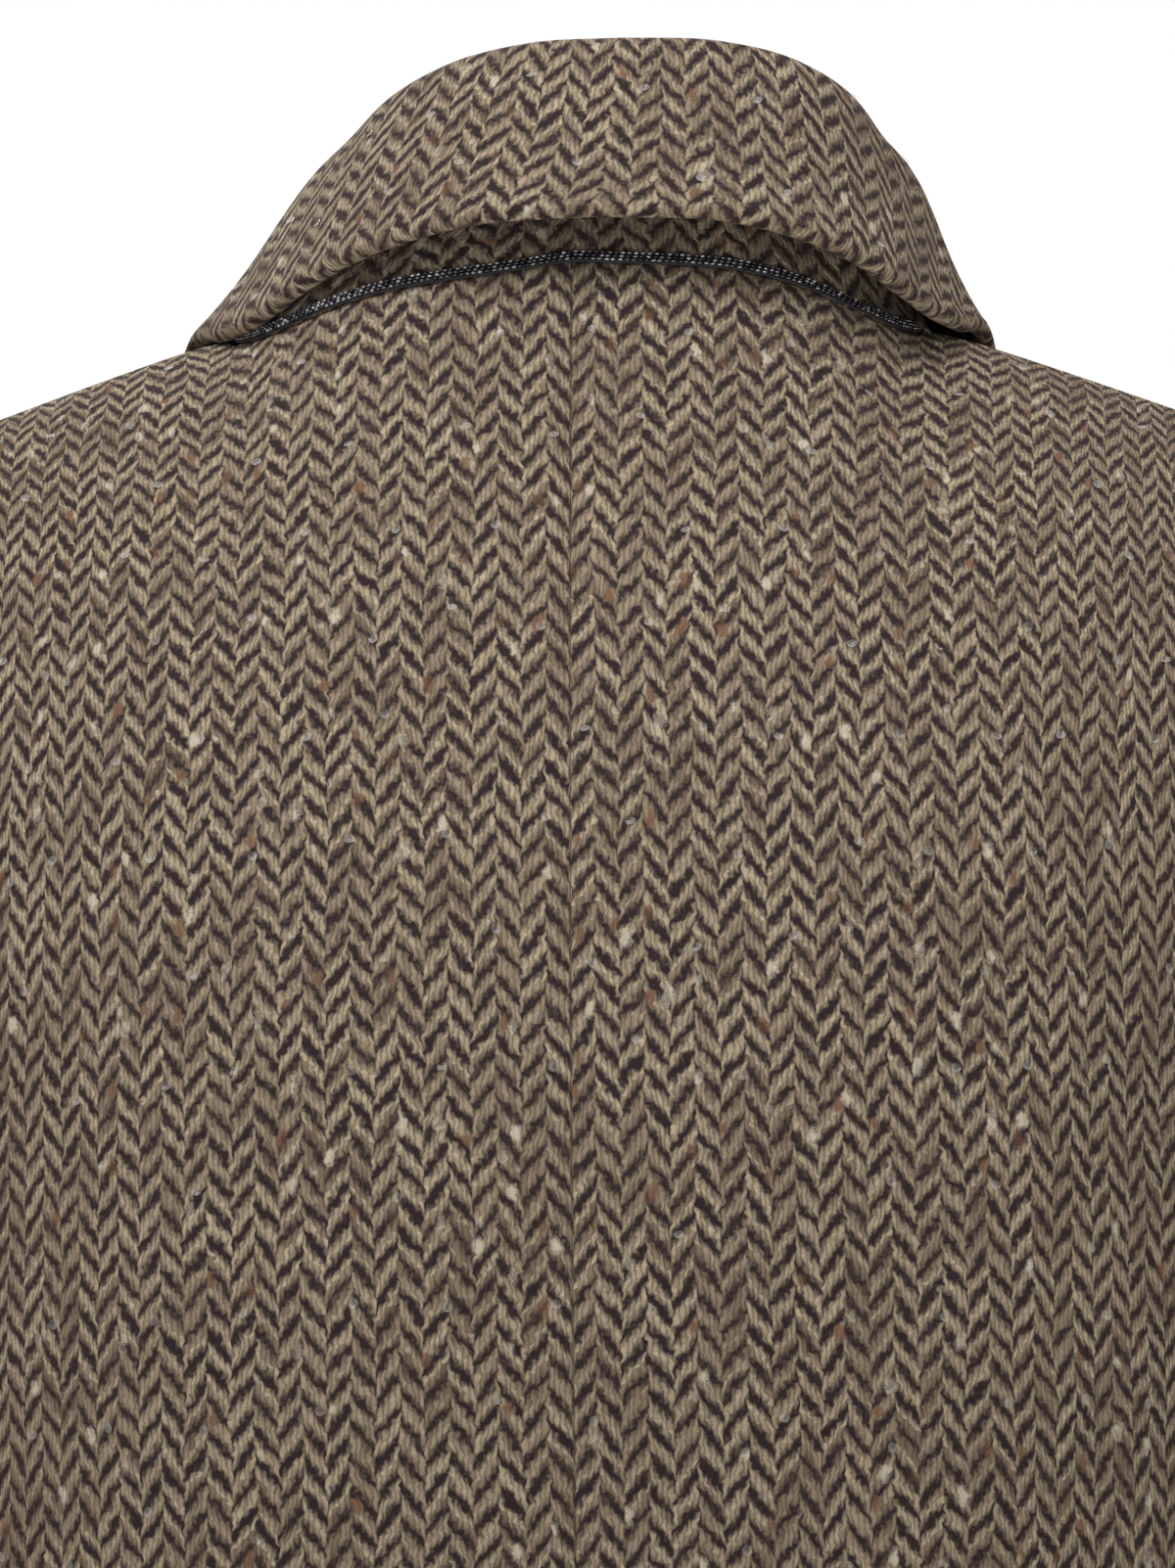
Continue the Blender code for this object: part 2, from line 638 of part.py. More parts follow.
def collar_surface(u, v):
    """The under collar's inner skin, from end to end (v) and from seam to edge (u)."""
    half = 2 * v - 1
    station = np.abs(half)
    skin = to_notch(collar_strip(u, station, half), leaf_share(u), station)
    return leaning(mirrored(skin, half), leaf_share(u), station)


def to_notch(skin, t_leaf, station):
    """Near the gorge the leaf slides down the front, so that its end follows the notch."""
    notch_u = STAND_SHARE + (1 - STAND_SHARE) * COLLAR_NOTCH_SHARE
    straight = collar_strip(np.array(notch_u), np.array(1.0), np.array(1.0))
    share = np.interp(t_leaf, (0, COLLAR_NOTCH_SHARE, 1), (0, 1, 0))
    share = share * ease((station - NOTCH_REACH) / (1 - NOTCH_REACH))
    x, z = skin[..., 0], skin[..., 2]
    new_x = x + share * (COLLAR_NOTCH[0] - straight[0])
    new_z = z + share * (COLLAR_NOTCH[1] - straight[2])
    return skin + points(new_x - x, front_y(new_x, new_z) - front_y(x, z), new_z - z)


def mirrored(skin, half):
    """The left half's points, moved to the right half where half is negative."""
    return skin * np.stack((np.where(half < 0, -1, 1), 1 + 0 * half, 1 + 0 * half), axis=-1)


def leaning(skin, t_leaf, station):
    """The soft collar leans to the right, most at its fold."""
    fold_share = np.clip(skin[..., 2] / FOLD_TOP, 0, 1)
    edge_share = t_leaf * (1 - ease(station / SHOULDER_STATION - 0.5))
    shift = COLLAR_LEAN * fold_share + LEAF_LEAN * edge_share
    return skin - points(shift, 0 * shift, 0 * shift)


def trim_surface(u, v):
    """The beaded trim's back, along the neck seam from end to end."""
    half = (2 * v - 1) * TRIM_END
    seam, fold, _ = collar_guides(np.abs(half), half)
    up = unit(fold - seam)
    skin = seam + up * (TRIM_OFF + TRIM_HEIGHT * u)[..., None]
    return leaning(mirrored(skin, half), 0 * half, np.abs(half))


def build_collar():
    stand = np.linspace(0, STAND_SHARE, 6)
    leaf = STAND_SHARE + (1 - STAND_SHARE) * np.array(LEAF_COLUMNS)
    across = np.concatenate((stand, leaf))
    behind = np.linspace(0, SHOULDER_STATION, NECK_COLUMNS)
    before = np.linspace(SHOULDER_STATION, 1, GORGE_COLUMNS)
    before[-1] = COLLAR_END
    stations = np.concatenate((behind, before[1:]))
    along = (1 + np.concatenate((-stations[:0:-1], stations))) / 2
    cloth("collar_under", collar_surface, across, along, (0, CLOTH), -1)
    cloth("collar_top", collar_surface, across, along, (CLOTH + GAP, LAYERS), -1)
    trim_depths = (TRIM_OFF, TRIM_OFF + TRIM_THICK)
    trim_along = np.linspace(0, 1, TRIM_COLUMNS)
    cloth("neck_trim", trim_surface, (0, 0.5, 1), trim_along, trim_depths, 1, 1, "beads")


# ---------------------------------------------------------------- sleeves
HEAD_SHARE = 0.34  # share of a sleeve's rows in its head
HEAD_PULL = 1.15  # how full the head rounds
UNDERARM_AWAY = (0.8, -0.65)  # across and up: how the sleeve leaves the armhole below
SHOULDER_AWAY = (1.0, -0.25)  # and at the shoulder
SIDE_SPREAD = 0.22  # how far it spreads to the back and front there
LOOP_POINTS = 20  # on the armhole's back, and on its front
LOOP_CROWD = 1.6
UNDERARM_POINTS = 12
BICEPS_STEP = 10 * MM
HEAD_ROWS = 8
ARM_ROWS = 9
UNDER_COLUMNS = 8
TOP_COLUMNS = 14
SLEEVE_MARGIN = 0.004  # radians, half the gap at a sleeve seam


def armhole_loop():
    """The armhole seam as a closed loop: shoulder, back, underarm, front."""
    rise = 1 - (1 - np.linspace(0, 1, LOOP_POINTS)) ** LOOP_CROWD
    v = LOWER_SHARE + (1 - LOWER_SHARE) * rise
    back = back_surface(0.0)(np.ones_like(v), v)[::-1]
    under = side_surface(np.linspace(0, 1, UNDERARM_POINTS + 2)[1:-1], np.ones(UNDERARM_POINTS))
    front = front_surface(0.0)(np.zeros_like(v), v)
    return np.concatenate((back, under, front))


def loop_reader():
    """The armhole loop, read by the angle round the sleeve (0 outer, pi inner)."""
    loop = armhole_loop()
    steps = np.linalg.norm(np.diff(loop, axis=0), axis=1)
    run = np.concatenate(((0,), np.cumsum(steps)))
    lowest = run[np.argmin(loop[:, 2])]
    angles = np.where(run < lowest, math.pi * run / lowest, 0)
    after = math.pi + math.pi * (run - lowest) / (run[-1] - lowest)
    angles = np.where(run < lowest, angles, after)

    def read(angle):
        return np.stack([np.interp(angle, angles, loop[:, i]) for i in range(3)], axis=-1)

    return read


def sleeve_ring(angle, z):
    """The sleeve's oval section at height z."""
    heights = column(SLEEVE_COLUMNS, SLEEVE_ROWS, "height")[::-1] * MM

    def read(name, scale=MM):
        return smooth(z, heights, column(SLEEVE_COLUMNS, SLEEVE_ROWS, name)[::-1] * scale)

    x = read("mid_x") + read("half_x") * np.cos(angle)
    swing = read("half_y") * np.sin(angle)
    return points(x, read("mid_y") + swing, z - read("tip", 1) * swing)


def sleeve_surface(first, last):
    """Part of a sleeve, between two angles round it, from the armhole down to the cuff."""
    read_loop = loop_reader()
    biceps_z, cuff_z = SLEEVE_ROWS[0][0] * MM, SLEEVE_ROWS[-1][0] * MM

    def surface(u, v):
        angle = first + u * (last - first)
        angle = np.mod(angle, 2 * math.pi)
        top = (1 + np.cos(angle)) / 2
        start = read_loop(angle)
        out, up = (low + top * (high - low) for low, high in zip(UNDERARM_AWAY, SHOULDER_AWAY))
        away = unit(points(out, SIDE_SPREAD * np.sin(angle), up))
        start = start + away * SLEEVE_HEAD_GAP
        biceps = sleeve_ring(angle, np.full_like(angle, biceps_z))
        below = sleeve_ring(angle, np.full_like(angle, biceps_z - BICEPS_STEP))
        reach = np.linalg.norm(biceps - start, axis=-1, keepdims=True)
        t = np.clip(v / HEAD_SHARE, 0, 1)[..., None]
        pull = reach * HEAD_PULL
        head = hermite(start, biceps, away * pull, unit(below - biceps) * pull, t)
        down = np.clip((v - HEAD_SHARE) / (1 - HEAD_SHARE), 0, 1)
        arm = sleeve_ring(angle, biceps_z + down * (cuff_z - biceps_z))
        return np.where((v < HEAD_SHARE)[..., None], head, arm)

    return surface


def build_sleeves():
    head_rows = np.linspace(0, HEAD_SHARE, HEAD_ROWS)
    rows = np.concatenate((head_rows, np.linspace(HEAD_SHARE, 1, ARM_ROWS)[1:]))
    under_across = np.linspace(0, 1, UNDER_COLUMNS)
    top_across = np.linspace(0, 1, TOP_COLUMNS)
    start, end = UNDER_SLEEVE
    under = sleeve_surface(start + SLEEVE_MARGIN, end - SLEEVE_MARGIN)
    top = sleeve_surface(end + SLEEVE_MARGIN, start - SLEEVE_MARGIN + 2 * math.pi)
    for side, word in ((1, "left"), (-1, "right")):
        cloth(f"sleeve_under_{word}", under, under_across, rows, (0, -CLOTH), -1, side)
        cloth(f"sleeve_top_{word}", top, top_across, rows, (0, -CLOTH), -1, side)


# ---------------------------------------------------------------- buttons
def button_mesh():
    """A turned button: a raised rim round a dished face."""
    profile = (
        (0.0, 0.62),
        (0.58, 0.66),
        (0.72, 0.95),
        (0.86, 1.0),
        (0.97, 0.78),
        (1.0, 0.45),
        (0.9, 0.1),
        (0.78, 0.0),
        (0.0, 0.0),
    )
    turned = bmesh.new()
    ring = [turned.verts.new((r * BUTTON_RADIUS, 0, h * BUTTON_THICK)) for r, h in profile]
    edges = [turned.edges.new(pair) for pair in zip(ring, ring[1:])]
    bmesh.ops.spin(
        turned,
        geom=ring + edges,
        cent=(0, 0, 0),
        axis=(0, 0, 1),
        angle=2 * math.pi,
        steps=BUTTON_SIDES,
        use_merge=True,
        use_duplicate=False,
    )
    bmesh.ops.remove_doubles(turned, verts=turned.verts, dist=0.01 * MM)
    bmesh.ops.recalc_face_normals(turned, faces=turned.faces)
    mesh = bpy.data.meshes.new("button")
    turned.to_mesh(mesh)
    turned.free()
    return mesh


def build_buttons():
    for number, row in enumerate(BUTTON_ROWS, start=1):
        read = dict(zip(BUTTON_COLUMNS, row))
        over = read["panel"] == "right"
        panel_side = -1 if over else 1
        x = np.array(read["out"] * MM * read["side"] * panel_side)
        z = np.array(read["height"] * MM)
        lift = OVERLAP_LIFT if over else 0.0
        place, normal = on_front(x, z, lift, np.array(BUTTON_OFF))
        mirror = np.array((panel_side, 1, 1))
        piece = add_piece(f"button_{number}", button_mesh(), "horn")
        piece.location = place * mirror
        piece.rotation_euler = Vector(normal * mirror).to_track_quat("Z", "Y").to_euler()


# ---------------------------------------------------------------- the blazer
for leftover in list(bpy.data.objects):
    bpy.data.objects.remove(leftover, do_unlink=True)

blazer = bpy.data.collections.new("double_breasted_blazer")
bpy.context.scene.collection.children.link(blazer)
materials = {
    "tweed": make_material("herringbone_tweed", COLOURS["tweed"], 0.95),
    "beads": make_material("gunmetal_beads", COLOURS["beads"], 0.3, 0.9),
    "horn": make_material("dark_horn", COLOURS["horn"], 0.35),
}
build_backs_and_sides()
build_fronts()
build_lapels()
build_collar()
build_sleeves()
build_buttons()
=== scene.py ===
import math
from functools import partial

import bmesh
import bpy
import numpy as np
from mathutils import Matrix, Vector


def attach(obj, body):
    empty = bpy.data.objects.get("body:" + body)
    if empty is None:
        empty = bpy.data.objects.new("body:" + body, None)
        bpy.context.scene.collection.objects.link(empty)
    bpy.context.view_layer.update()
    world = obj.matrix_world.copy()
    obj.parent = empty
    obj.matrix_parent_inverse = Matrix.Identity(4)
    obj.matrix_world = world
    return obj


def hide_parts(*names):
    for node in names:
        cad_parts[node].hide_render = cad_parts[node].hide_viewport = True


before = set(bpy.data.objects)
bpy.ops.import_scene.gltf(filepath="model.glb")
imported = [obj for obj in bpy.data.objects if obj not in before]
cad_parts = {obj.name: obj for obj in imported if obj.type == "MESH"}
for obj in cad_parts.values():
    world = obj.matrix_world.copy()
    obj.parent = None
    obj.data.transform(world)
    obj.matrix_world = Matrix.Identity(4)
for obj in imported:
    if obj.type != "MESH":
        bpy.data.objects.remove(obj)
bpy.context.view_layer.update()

MM = 0.001

# ------------------------------------------------------------------------------ back panels
# The two backs, cut from heavy herringbone tweed and sewn together down the centre back. Each
# is one cloth that follows the body's form, and the seam shows as a soft valley. The tweed and
# the way a cloth is laid on the form are defined here, because every cut piece uses them.
SIDES = ((1, "left"), (-1, "right"))
CLOTH = 2.3 * MM
GAP = 0.3 * MM  # between two pieces
HEM_Z = -680 * MM
ARMPIT_Z = -222 * MM  # where the side seams reach the armhole
BLADE_Z = -245 * MM  # shoulder-blade level, where the body is at its full depth
SQUARENESS = 2.4  # exponent of the body's oval sections
SIDE_SHARE = 0.9  # the side seams lie at this share of the half width

NECK_HALF = 92 * MM  # half width of the neck opening
NECK_BACK = 66 * MM  # from the shoulder line back to the neck seam
NECK_FRONT = 83 * MM  # half depth of the oval that the front neck seam follows
NECK_SQUARENESS = 2.1
NECK_RISE = 112 * MM  # how far the back's curve would run up past the neck opening
NECK_RISE_POWER = 1.6
NECK_SAG = {"left": 6 * MM, "right": 2.4 * MM}  # dip of each half of the back neck seam
SAG_SKEW = 0.6  # below 1, the dip's lowest point is nearer the centre back
GORGE_ANGLE = math.radians(52.5)  # round the front neck oval, to where the gorge begins

SHOULDER_HALF = 203 * MM  # to the sleeve-head seam
SHOULDER_SLOPE = 0.371
SHOULDER_BEND = 12 * MM  # softness of the bend where the shoulder leaves the neck
RIDGE_POWER = 0.62  # roundness of the shoulder's top, front to back


def table(names, *rows):
    """A table of measures, as an array for each of its columns."""
    return dict(zip(names.split(), np.array(rows, dtype=float).T))


# The body's oval at each height: half its width, and its depth to the back and to the front.
BODY = table(
    "height half_width back front",
    (-680, 192, 124, 110),
    (-600, 188, 121, 108),
    (-510, 176, 112, 106),
    (-410, 158, 105, 105),
    (-350, 164, 117, 112),
    (-290, 172, 127, 119),
    (-222, 174, 127, 117),
    (-150, 196, 127, 116),
    (-80, 225, 127, 116),
    (0, 245, 127, 116),
    (90, 250, 127, 116),
)

# How far out the armhole's seam lies, from the side seam's top (0) to the shoulder seam (1).
ARMHOLE = table(
    "rise back front",
    (0.00, 156.6, 156.6),
    (0.25, 169, 160),
    (0.50, 180, 168),
    (0.75, 192, 184),
    (1.00, 203, 203),
)

SHOULDER_STATION = 0.58  # where the collar crosses the shoulder seam


def smooth(at, xs, ys):
    """A smooth curve through (xs, ys), read at the places asked for."""
    slopes = np.gradient(ys, xs)
    left = np.clip(np.searchsorted(xs, at) - 1, 0, len(xs) - 2)
    step = xs[left + 1] - xs[left]
    t = (at - xs[left]) / step
    start = (2 * t**3 - 3 * t**2 + 1) * ys[left] + (t**3 - 2 * t**2 + t) * step * slopes[left]
    end = (3 * t**2 - 2 * t**3) * ys[left + 1] + (t**3 - t**2) * step * slopes[left + 1]
    return start + end


def ease(t):
    """0 to 1, flat at both ends."""
    t = np.clip(t, 0, 1)
    return t * t * (3 - 2 * t)


def unit(vectors):
    return vectors / np.linalg.norm(vectors, axis=-1, keepdims=True)


def points(x, y, z):
    return np.stack(np.broadcast_arrays(x, y, z), axis=-1)


def body(name, z):
    return smooth(z, BODY["height"] * MM, BODY[name] * MM)


def ridge(x):
    """Height of the shoulder's top at a distance x from the centre."""
    run = np.abs(x) - NECK_HALF
    soft = (run + np.sqrt(run**2 + SHOULDER_BEND**2)) / 2
    return SHOULDER_SLOPE * (SHOULDER_BEND / 2 - soft)


SIDE_LIMIT = 0.9995  # of the half width, where a section's depth still counts


def section(x, z, panel):
    """Depth of the body's oval section at height z, a distance x from the centre."""
    share = np.clip(np.abs(x) / body("half_width", z), 0, SIDE_LIMIT)
    return body(panel, z) * (1 - share**SQUARENESS) ** (1 / SQUARENESS)


def crest(x, panel):
    """How high a panel's curve ends, and how roundly. It ends at the ridge, but the back's runs
    up past the neck opening."""
    if panel == "front":
        return ridge(x), RIDGE_POWER
    inside = np.clip(1 - (x / NECK_HALF) ** 2, 0, 1)
    power = 1 - (1 - RIDGE_POWER) * ease(np.abs(x) / NECK_HALF)
    return ridge(x) + NECK_RISE * inside**NECK_RISE_POWER, power


def fullness(x, z, panel):
    """0 at the top, growing to 1 at the shoulder blades and below."""
    top, power = crest(x, panel)
    fall = np.clip((top - z) / (top - BLADE_Z), 0, 1)
    return (1 - (1 - fall) ** 2) ** power


def back_y(x, z):
    return section(x, z, "back") * fullness(x, z, "back")


def height_at(x, y, panel):
    """The inverse of the form: how high the surface is at a place in plan."""
    top, power = crest(x, panel)
    full = np.clip(np.abs(y) / section(x, 0.0, panel), 0, 1) ** (1 / power)
    return top - (top - BLADE_Z) * (1 - np.sqrt(1 - full))


def run_past(share, start):
    """How far a share has run from a start (0) on to 1."""
    return np.clip((share - start) / (1 - start), 0, 1)


def neck_seam(station, sag=0.0):
    """The neck seam, from the centre back (0) past the shoulder to the gorge (1)."""
    turn = np.clip(station / SHOULDER_STATION, 0, 1) * math.pi / 2
    share = 2 / NECK_SQUARENESS
    x_back = NECK_HALF * np.sin(turn) ** share
    y_back = NECK_BACK * np.abs(np.cos(turn)) ** share
    z_back = height_at(x_back, y_back, "back")
    dip = (np.clip(station, 0, SHOULDER_STATION) / SHOULDER_STATION) ** SAG_SKEW
    z_back = z_back - sag * np.sin(math.pi * dip) ** 2
    y_back = back_y(x_back, z_back)
    angle = run_past(station, SHOULDER_STATION) * GORGE_ANGLE
    x_front = NECK_HALF * np.cos(angle)
    y_front = -NECK_FRONT * np.sin(angle)
    z_front = height_at(x_front, y_front, "front")
    behind = station <= SHOULDER_STATION
    return points(
        np.where(behind, x_back, x_front),
        np.where(behind, y_back, y_front),
        np.where(behind, z_back, z_front),
    )


LOWER_SHARE = 0.55  # share of a panel's rows that lie below the armpit
EDGE_MARGIN = 0.1 * MM  # half the gap at a side seam, across the body


def lower_height(v):
    return HEM_Z + np.clip(v / LOWER_SHARE, 0, 1) * (ARMPIT_Z - HEM_Z)


def armhole_x(rise, panel):
    return smooth(rise, ARMHOLE["rise"], ARMHOLE[panel] * MM)


def outer_edge_x(v, panel):
    """The panel's outer edge: its side seam, then the armhole."""
    lower = SIDE_SHARE * body("half_width", lower_height(v))
    upper = armhole_x(run_past(v, LOWER_SHARE), panel)
    return np.where(v < LOWER_SHARE, lower, upper) - EDGE_MARGIN


SEAM_HIDE = 0.012 * MM  # the shoulder seam's edges stop this far below the ridge


def back_top_z(x, sag):
    """The back's top edge: the neck seam, then the shoulder seam."""
    turn = np.arcsin(np.clip(x / NECK_HALF, 0, 1) ** (NECK_SQUARENESS / 2))
    neck = neck_seam(SHOULDER_STATION * turn / (math.pi / 2), sag)[..., 2]
    return np.where(x < NECK_HALF, neck, ridge(x) - SEAM_HIDE)


def back_surface(sag):
    def surface(u, v):
        """A back, across from the centre seam and up from the hem."""
        edge = outer_edge_x(v, "back")
        x = GAP / 2 + u * (edge - GAP / 2)
        top = back_top_z(u * (SHOULDER_HALF - EDGE_MARGIN), sag)
        upper = ARMPIT_Z + run_past(v, LOWER_SHARE) * (top - ARMPIT_Z)
        z = np.where(v < LOWER_SHARE, lower_height(v), upper)
        return points(x, back_y(x, z), z)

    return surface


def add_node(tree, kind, inputs=(), out=0, **settings):
    """Adds a shader node with its settings and links, and gives back one of its outputs. A second
    word in its kind is its operation."""
    kind, _, operation = kind.partition(" ")
    node = tree.nodes.new("ShaderNode" + kind)
    if operation:
        node.operation = operation
    for name, value in settings.items():
        setattr(node, name, value)
    pairs = inputs.items() if isinstance(inputs, dict) else enumerate(inputs)
    for name, value in pairs:
        if isinstance(value, bpy.types.NodeSocket):
            tree.links.new(value, node.inputs[name])
        else:
            node.inputs[name].default_value = value
    return node.outputs[out]


def srgb(code):
    """An sRGB hex colour as linear RGBA."""
    parts = [int(code[i : i + 2], 16) / 255 for i in (1, 3, 5)]
    linear = [p / 12.92 if p <= 0.04045 else ((p + 0.055) / 1.055) ** 2.4 for p in parts]
    return (*linear, 1.0)


END = 1.51  # mm from one warp end to the next
REPEAT_HIGH = 7.9  # mm, four picks
STRIPE = 4 * END  # mm, a stripe of the herringbone, after which the twill turns
TWILL_CLIMB = 0.88  # repeats that the twill climbs across a stripe
FLOAT_LEAN = 1.0  # ends that a float leans along the twill over one repeat
STEPPED = 0.4  # share of the climb that goes end by end, not smoothly
EDGE_SOFT = 0.34  # share of half a repeat over which a float's edge fades into the weft
DARK_HALF, BORDER_PINCH = 0.33, 0.14  # how far the weft shows, and how much less at borders
TIP_SWING = 0.1  # how much wider the weft shows at the sides of an end
LOT_SWINGS = (0.18, 0.16, 0.3, 0.8)  # and how much that varies by float, bar, blotch and tuft
SLUB_SCALE = 0.11  # cells per mm, each with room for one slub


def herringbone_tweed():
    """Woollen tweed, 2/2 twill turned every four ends: plump taupe warp floats over a dark
    weft, with slubs. Rough and matt, with a soft nap, so it is all bump and sheen, no gloss;
    the dips between its floats also get painted shade in the colour."""
    material = bpy.data.materials.new("herringbone_tweed")
    material.use_nodes = True
    tree = material.node_tree
    shader = tree.nodes["Principled BSDF"]
    add = partial(add_node, tree)

    # The yarns wander, so the stripes and the rows are never quite straight.
    place = add("VectorMath MULTIPLY", (add("UVMap", uv_map="UVMap"), (1000, 1000, 1000)))
    shifts = []
    for scale, detail, reach in ((0.05, 1.0, (3.0, 3.0, 0)), (0.32, 1.5, (2.6, 3.8, 0))):
        noise = {"Vector": place, "Scale": scale, "Detail": detail, "Roughness": 0.6}
        shift = add("VectorMath SUBTRACT", (add("TexNoise", noise, 1), (0.5, 0.5, 0.5)))
        shifts.append(add("VectorMath MULTIPLY", (shift, reach)))
    for shift in shifts:
        place = add("VectorMath ADD", (place, shift))
    across = add("SeparateXYZ", (place,), 0)
    up = add("SeparateXYZ", (place,), 1)

    # Four ends to a stripe; the twill climbs one end at a time and turns at each stripe.
    stripes = add("Math DIVIDE", (across, STRIPE))
    stripe = add("Math FLOOR", (stripes,))
    in_stripe = add("Math FRACT", (stripes,))
    odd = add("Math FLOORED_MODULO", (stripe, 2.0))
    turn = add("Math MULTIPLY_ADD", (odd, -2.0 * TWILL_CLIMB, TWILL_CLIMB))
    high = add("Math DIVIDE", (up, REPEAT_HIGH))
    from_middle = add("Math SUBTRACT", (in_stripe, 0.5))
    level = add("Math SUBTRACT", (high, add("Math MULTIPLY", (from_middle, turn))))
    level = add("Math MULTIPLY_ADD", (odd, 0.5, add("Math ADD", (level, 0.5))))
    level = add("Math SUBTRACT", (add("Math FRACT", (level,)), 0.5))
    lean = add("Math MULTIPLY", (level, add("Math MULTIPLY", (turn, -FLOAT_LEAN))))
    ends = add("Math MULTIPLY_ADD", (in_stripe, 4.0, lean))
    end = add("Math FLOOR", (ends,))
    stepped = add("Math MULTIPLY_ADD", (end, 0.25, 0.125 - 0.5))
    climb = add("Mix", {0: STEPPED, 2: from_middle, 3: stepped}, 0, data_type="FLOAT")
    phase = add("Math SUBTRACT", (high, add("Math MULTIPLY", (climb, turn))))
    phase = add("Math MULTIPLY_ADD", (odd, 0.5, phase))
    bar = add("Math FLOOR", (phase,))
    from_dark = add("Math SUBTRACT", (add("Math FRACT", (phase,)), 0.5))
    from_dark = add("Math MULTIPLY", (add("Math ABSOLUTE", (from_dark,)), 2.0))
    in_end = add("Math MULTIPLY_ADD", (add("Math FRACT", (ends,)), 2.0, -1.0))
    in_end = add("Math ABSOLUTE", (in_end,))
    at_border = add("Math ABSOLUTE", (add("Math MULTIPLY", (from_middle, 2.0)),))
    at_border = add("Math POWER", (at_border, 4.0))
    tip = add("Math POWER", (in_end, 2.0))

    float_lot, bar_lot = (
        add("TexWhiteNoise", {"Vector": add("CombineXYZ", (stripe, bar, last))}, 0)
        for last in (end, 9.0)
    )
    blotch, tuft, fibre = (
        add("TexNoise", {"Vector": place, "Scale": scale, "Detail": detail, "Roughness": 0.6})
        for scale, detail in ((0.11, 2.0), (0.75, 1.0), (2.2, 2.0))
    )

    # How far the dark weft shows: wide in the middle of a stripe, pinched at its borders.
    dark_half = add("Math MULTIPLY_ADD", (at_border, -BORDER_PINCH, DARK_HALF))
    swings = [(tip, TIP_SWING, 0.0)]
    for lot, swing in zip((float_lot, bar_lot, blotch, tuft), LOT_SWINGS):
        swings.append((lot, swing, -swing / 2))
    for swing in swings:
        dark_half = add("Math ADD", (dark_half, add("Math MULTIPLY_ADD", swing)))
    soft = {"interpolation_type": "SMOOTHSTEP"}
    low, high = (add("Math ADD", (dark_half, side * EDGE_SOFT)) for side in (-1, 1))
    light = add("MapRange", {"Value": from_dark, "From Min": low, "From Max": high}, **soft)

    # A float is a plump little oval: highest along its middle, dipping to its neighbours.
    low = add("Math SUBTRACT", (dark_half, 0.05))
    crown = add("MapRange", {"Value": from_dark, "From Min": low, "From Max": 1.0}, **soft)
    crown = add("Math MULTIPLY_ADD", (crown, 0.45, 0.55))
    # The same profile darkens the colour at each float's edges and between its ends: painted
    # shade.
    shade = add("Math MULTIPLY", (crown, add("Math MULTIPLY_ADD", (tip, -0.55, 1.0))))
    plump = add("Math MULTIPLY", (shade, light))

    # Over the warp's colour: pale mottling by bar, fibre streaks, then the painted shade
    # (#3E3130).
    shares = (
        add("Math MULTIPLY", (bar_lot, tuft)),
        add("Math MULTIPLY_ADD", (fibre, 1.0, -0.35)),
        add("Math MULTIPLY_ADD", (shade, -1.1, 0.95)),
    )
    mix = {"out": 2, "data_type": "RGBA"}
    weft = add("Mix", {0: fibre, 6: srgb("#1C1418"), 7: srgb("#382C2D")}, **mix)
    colour = add("Mix", {0: float_lot, 6: srgb("#6F604F"), 7: srgb("#968570")}, **mix)
    for share, code in zip(shares, ("#D2C3A4", "#5A4B43", "#3E3130")):
        colour = add("Mix", {0: share, 6: colour, 7: srgb(code)}, **mix)
    colour = add("Mix", {0: light, 6: weft, 7: colour}, **mix)

    # Slubs: cream and rust tufts of fibre spun into the yarn, one in every few square centimetres.
    for seed, share, code, span in ((3.1, 0.2, "#BDB29F", 0.68), (7.7, 0.18, "#735340", 0.66)):
        spot = add("VectorMath ADD", (place, (seed * 31, seed * 17, 0)))
        spot = add("VectorMath MULTIPLY", (spot, (1.0, 0.62, 1.0)))
        spot = {"Vector": spot, "Scale": SLUB_SCALE, "Randomness": 1.0}
        reach, lot = (add("TexVoronoi", spot, n, voronoi_dimensions="2D") for n in (0, 1))
        size = add("SeparateXYZ", (lot,), 1)
        chosen = add("Math LESS_THAN", (add("SeparateXYZ", (lot,), 0), share))
        edge = add("Math MULTIPLY_ADD", (size, 0.9, 0.55))
        edge = add("Math MULTIPLY", (edge, span * SLUB_SCALE))
        reach = add("Math ADD", (reach, add("Math MULTIPLY_ADD", (fibre, 0.25, -0.125))))
        fade = {"From Min": add("Math ADD", (edge, 0.10)), "From Max": edge, "To Max": 0.9}
        slub = add("Math MULTIPLY", (add("MapRange", {"Value": reach, **fade}, **soft), chosen))
        slub = add("Math MULTIPLY", (slub, add("Math MULTIPLY_ADD", (light, 0.6, 0.4))))
        colour = add("Mix", {0: slub, 6: colour, 7: srgb(code)}, **mix)
        plump = add("Math MULTIPLY_ADD", (slub, 0.4, plump))

    nap = add("Math MULTIPLY_ADD", (fibre, 0.45, plump))
    relief = add("Bump", {"Strength": 0.9, "Distance": 0.5 * MM, "Height": nap})
    tree.links.new(colour, shader.inputs["Base Color"])
    tree.links.new(relief, shader.inputs["Normal"])
    finish = {"Roughness": 0.95, "Specular IOR Level": 0.1, "Sheen Weight": 0.1}
    finish |= {"Sheen Roughness": 0.5, "Sheen Tint": srgb("#C9ADA0")}
    for socket, value in finish.items():
        shader.inputs[socket].default_value = value
    return material


tweed = herringbone_tweed()
RIM_STEPS = 6
SEAM_SINK = 0.9 * MM
SEAM_WIDTH = 3.0 * MM


def grid_normals(skin, outward):
    """Unit normals of a grid of points."""
    along = np.gradient(skin, axis=0)
    across = np.gradient(skin, axis=1)
    return outward * unit(np.cross(across, along))


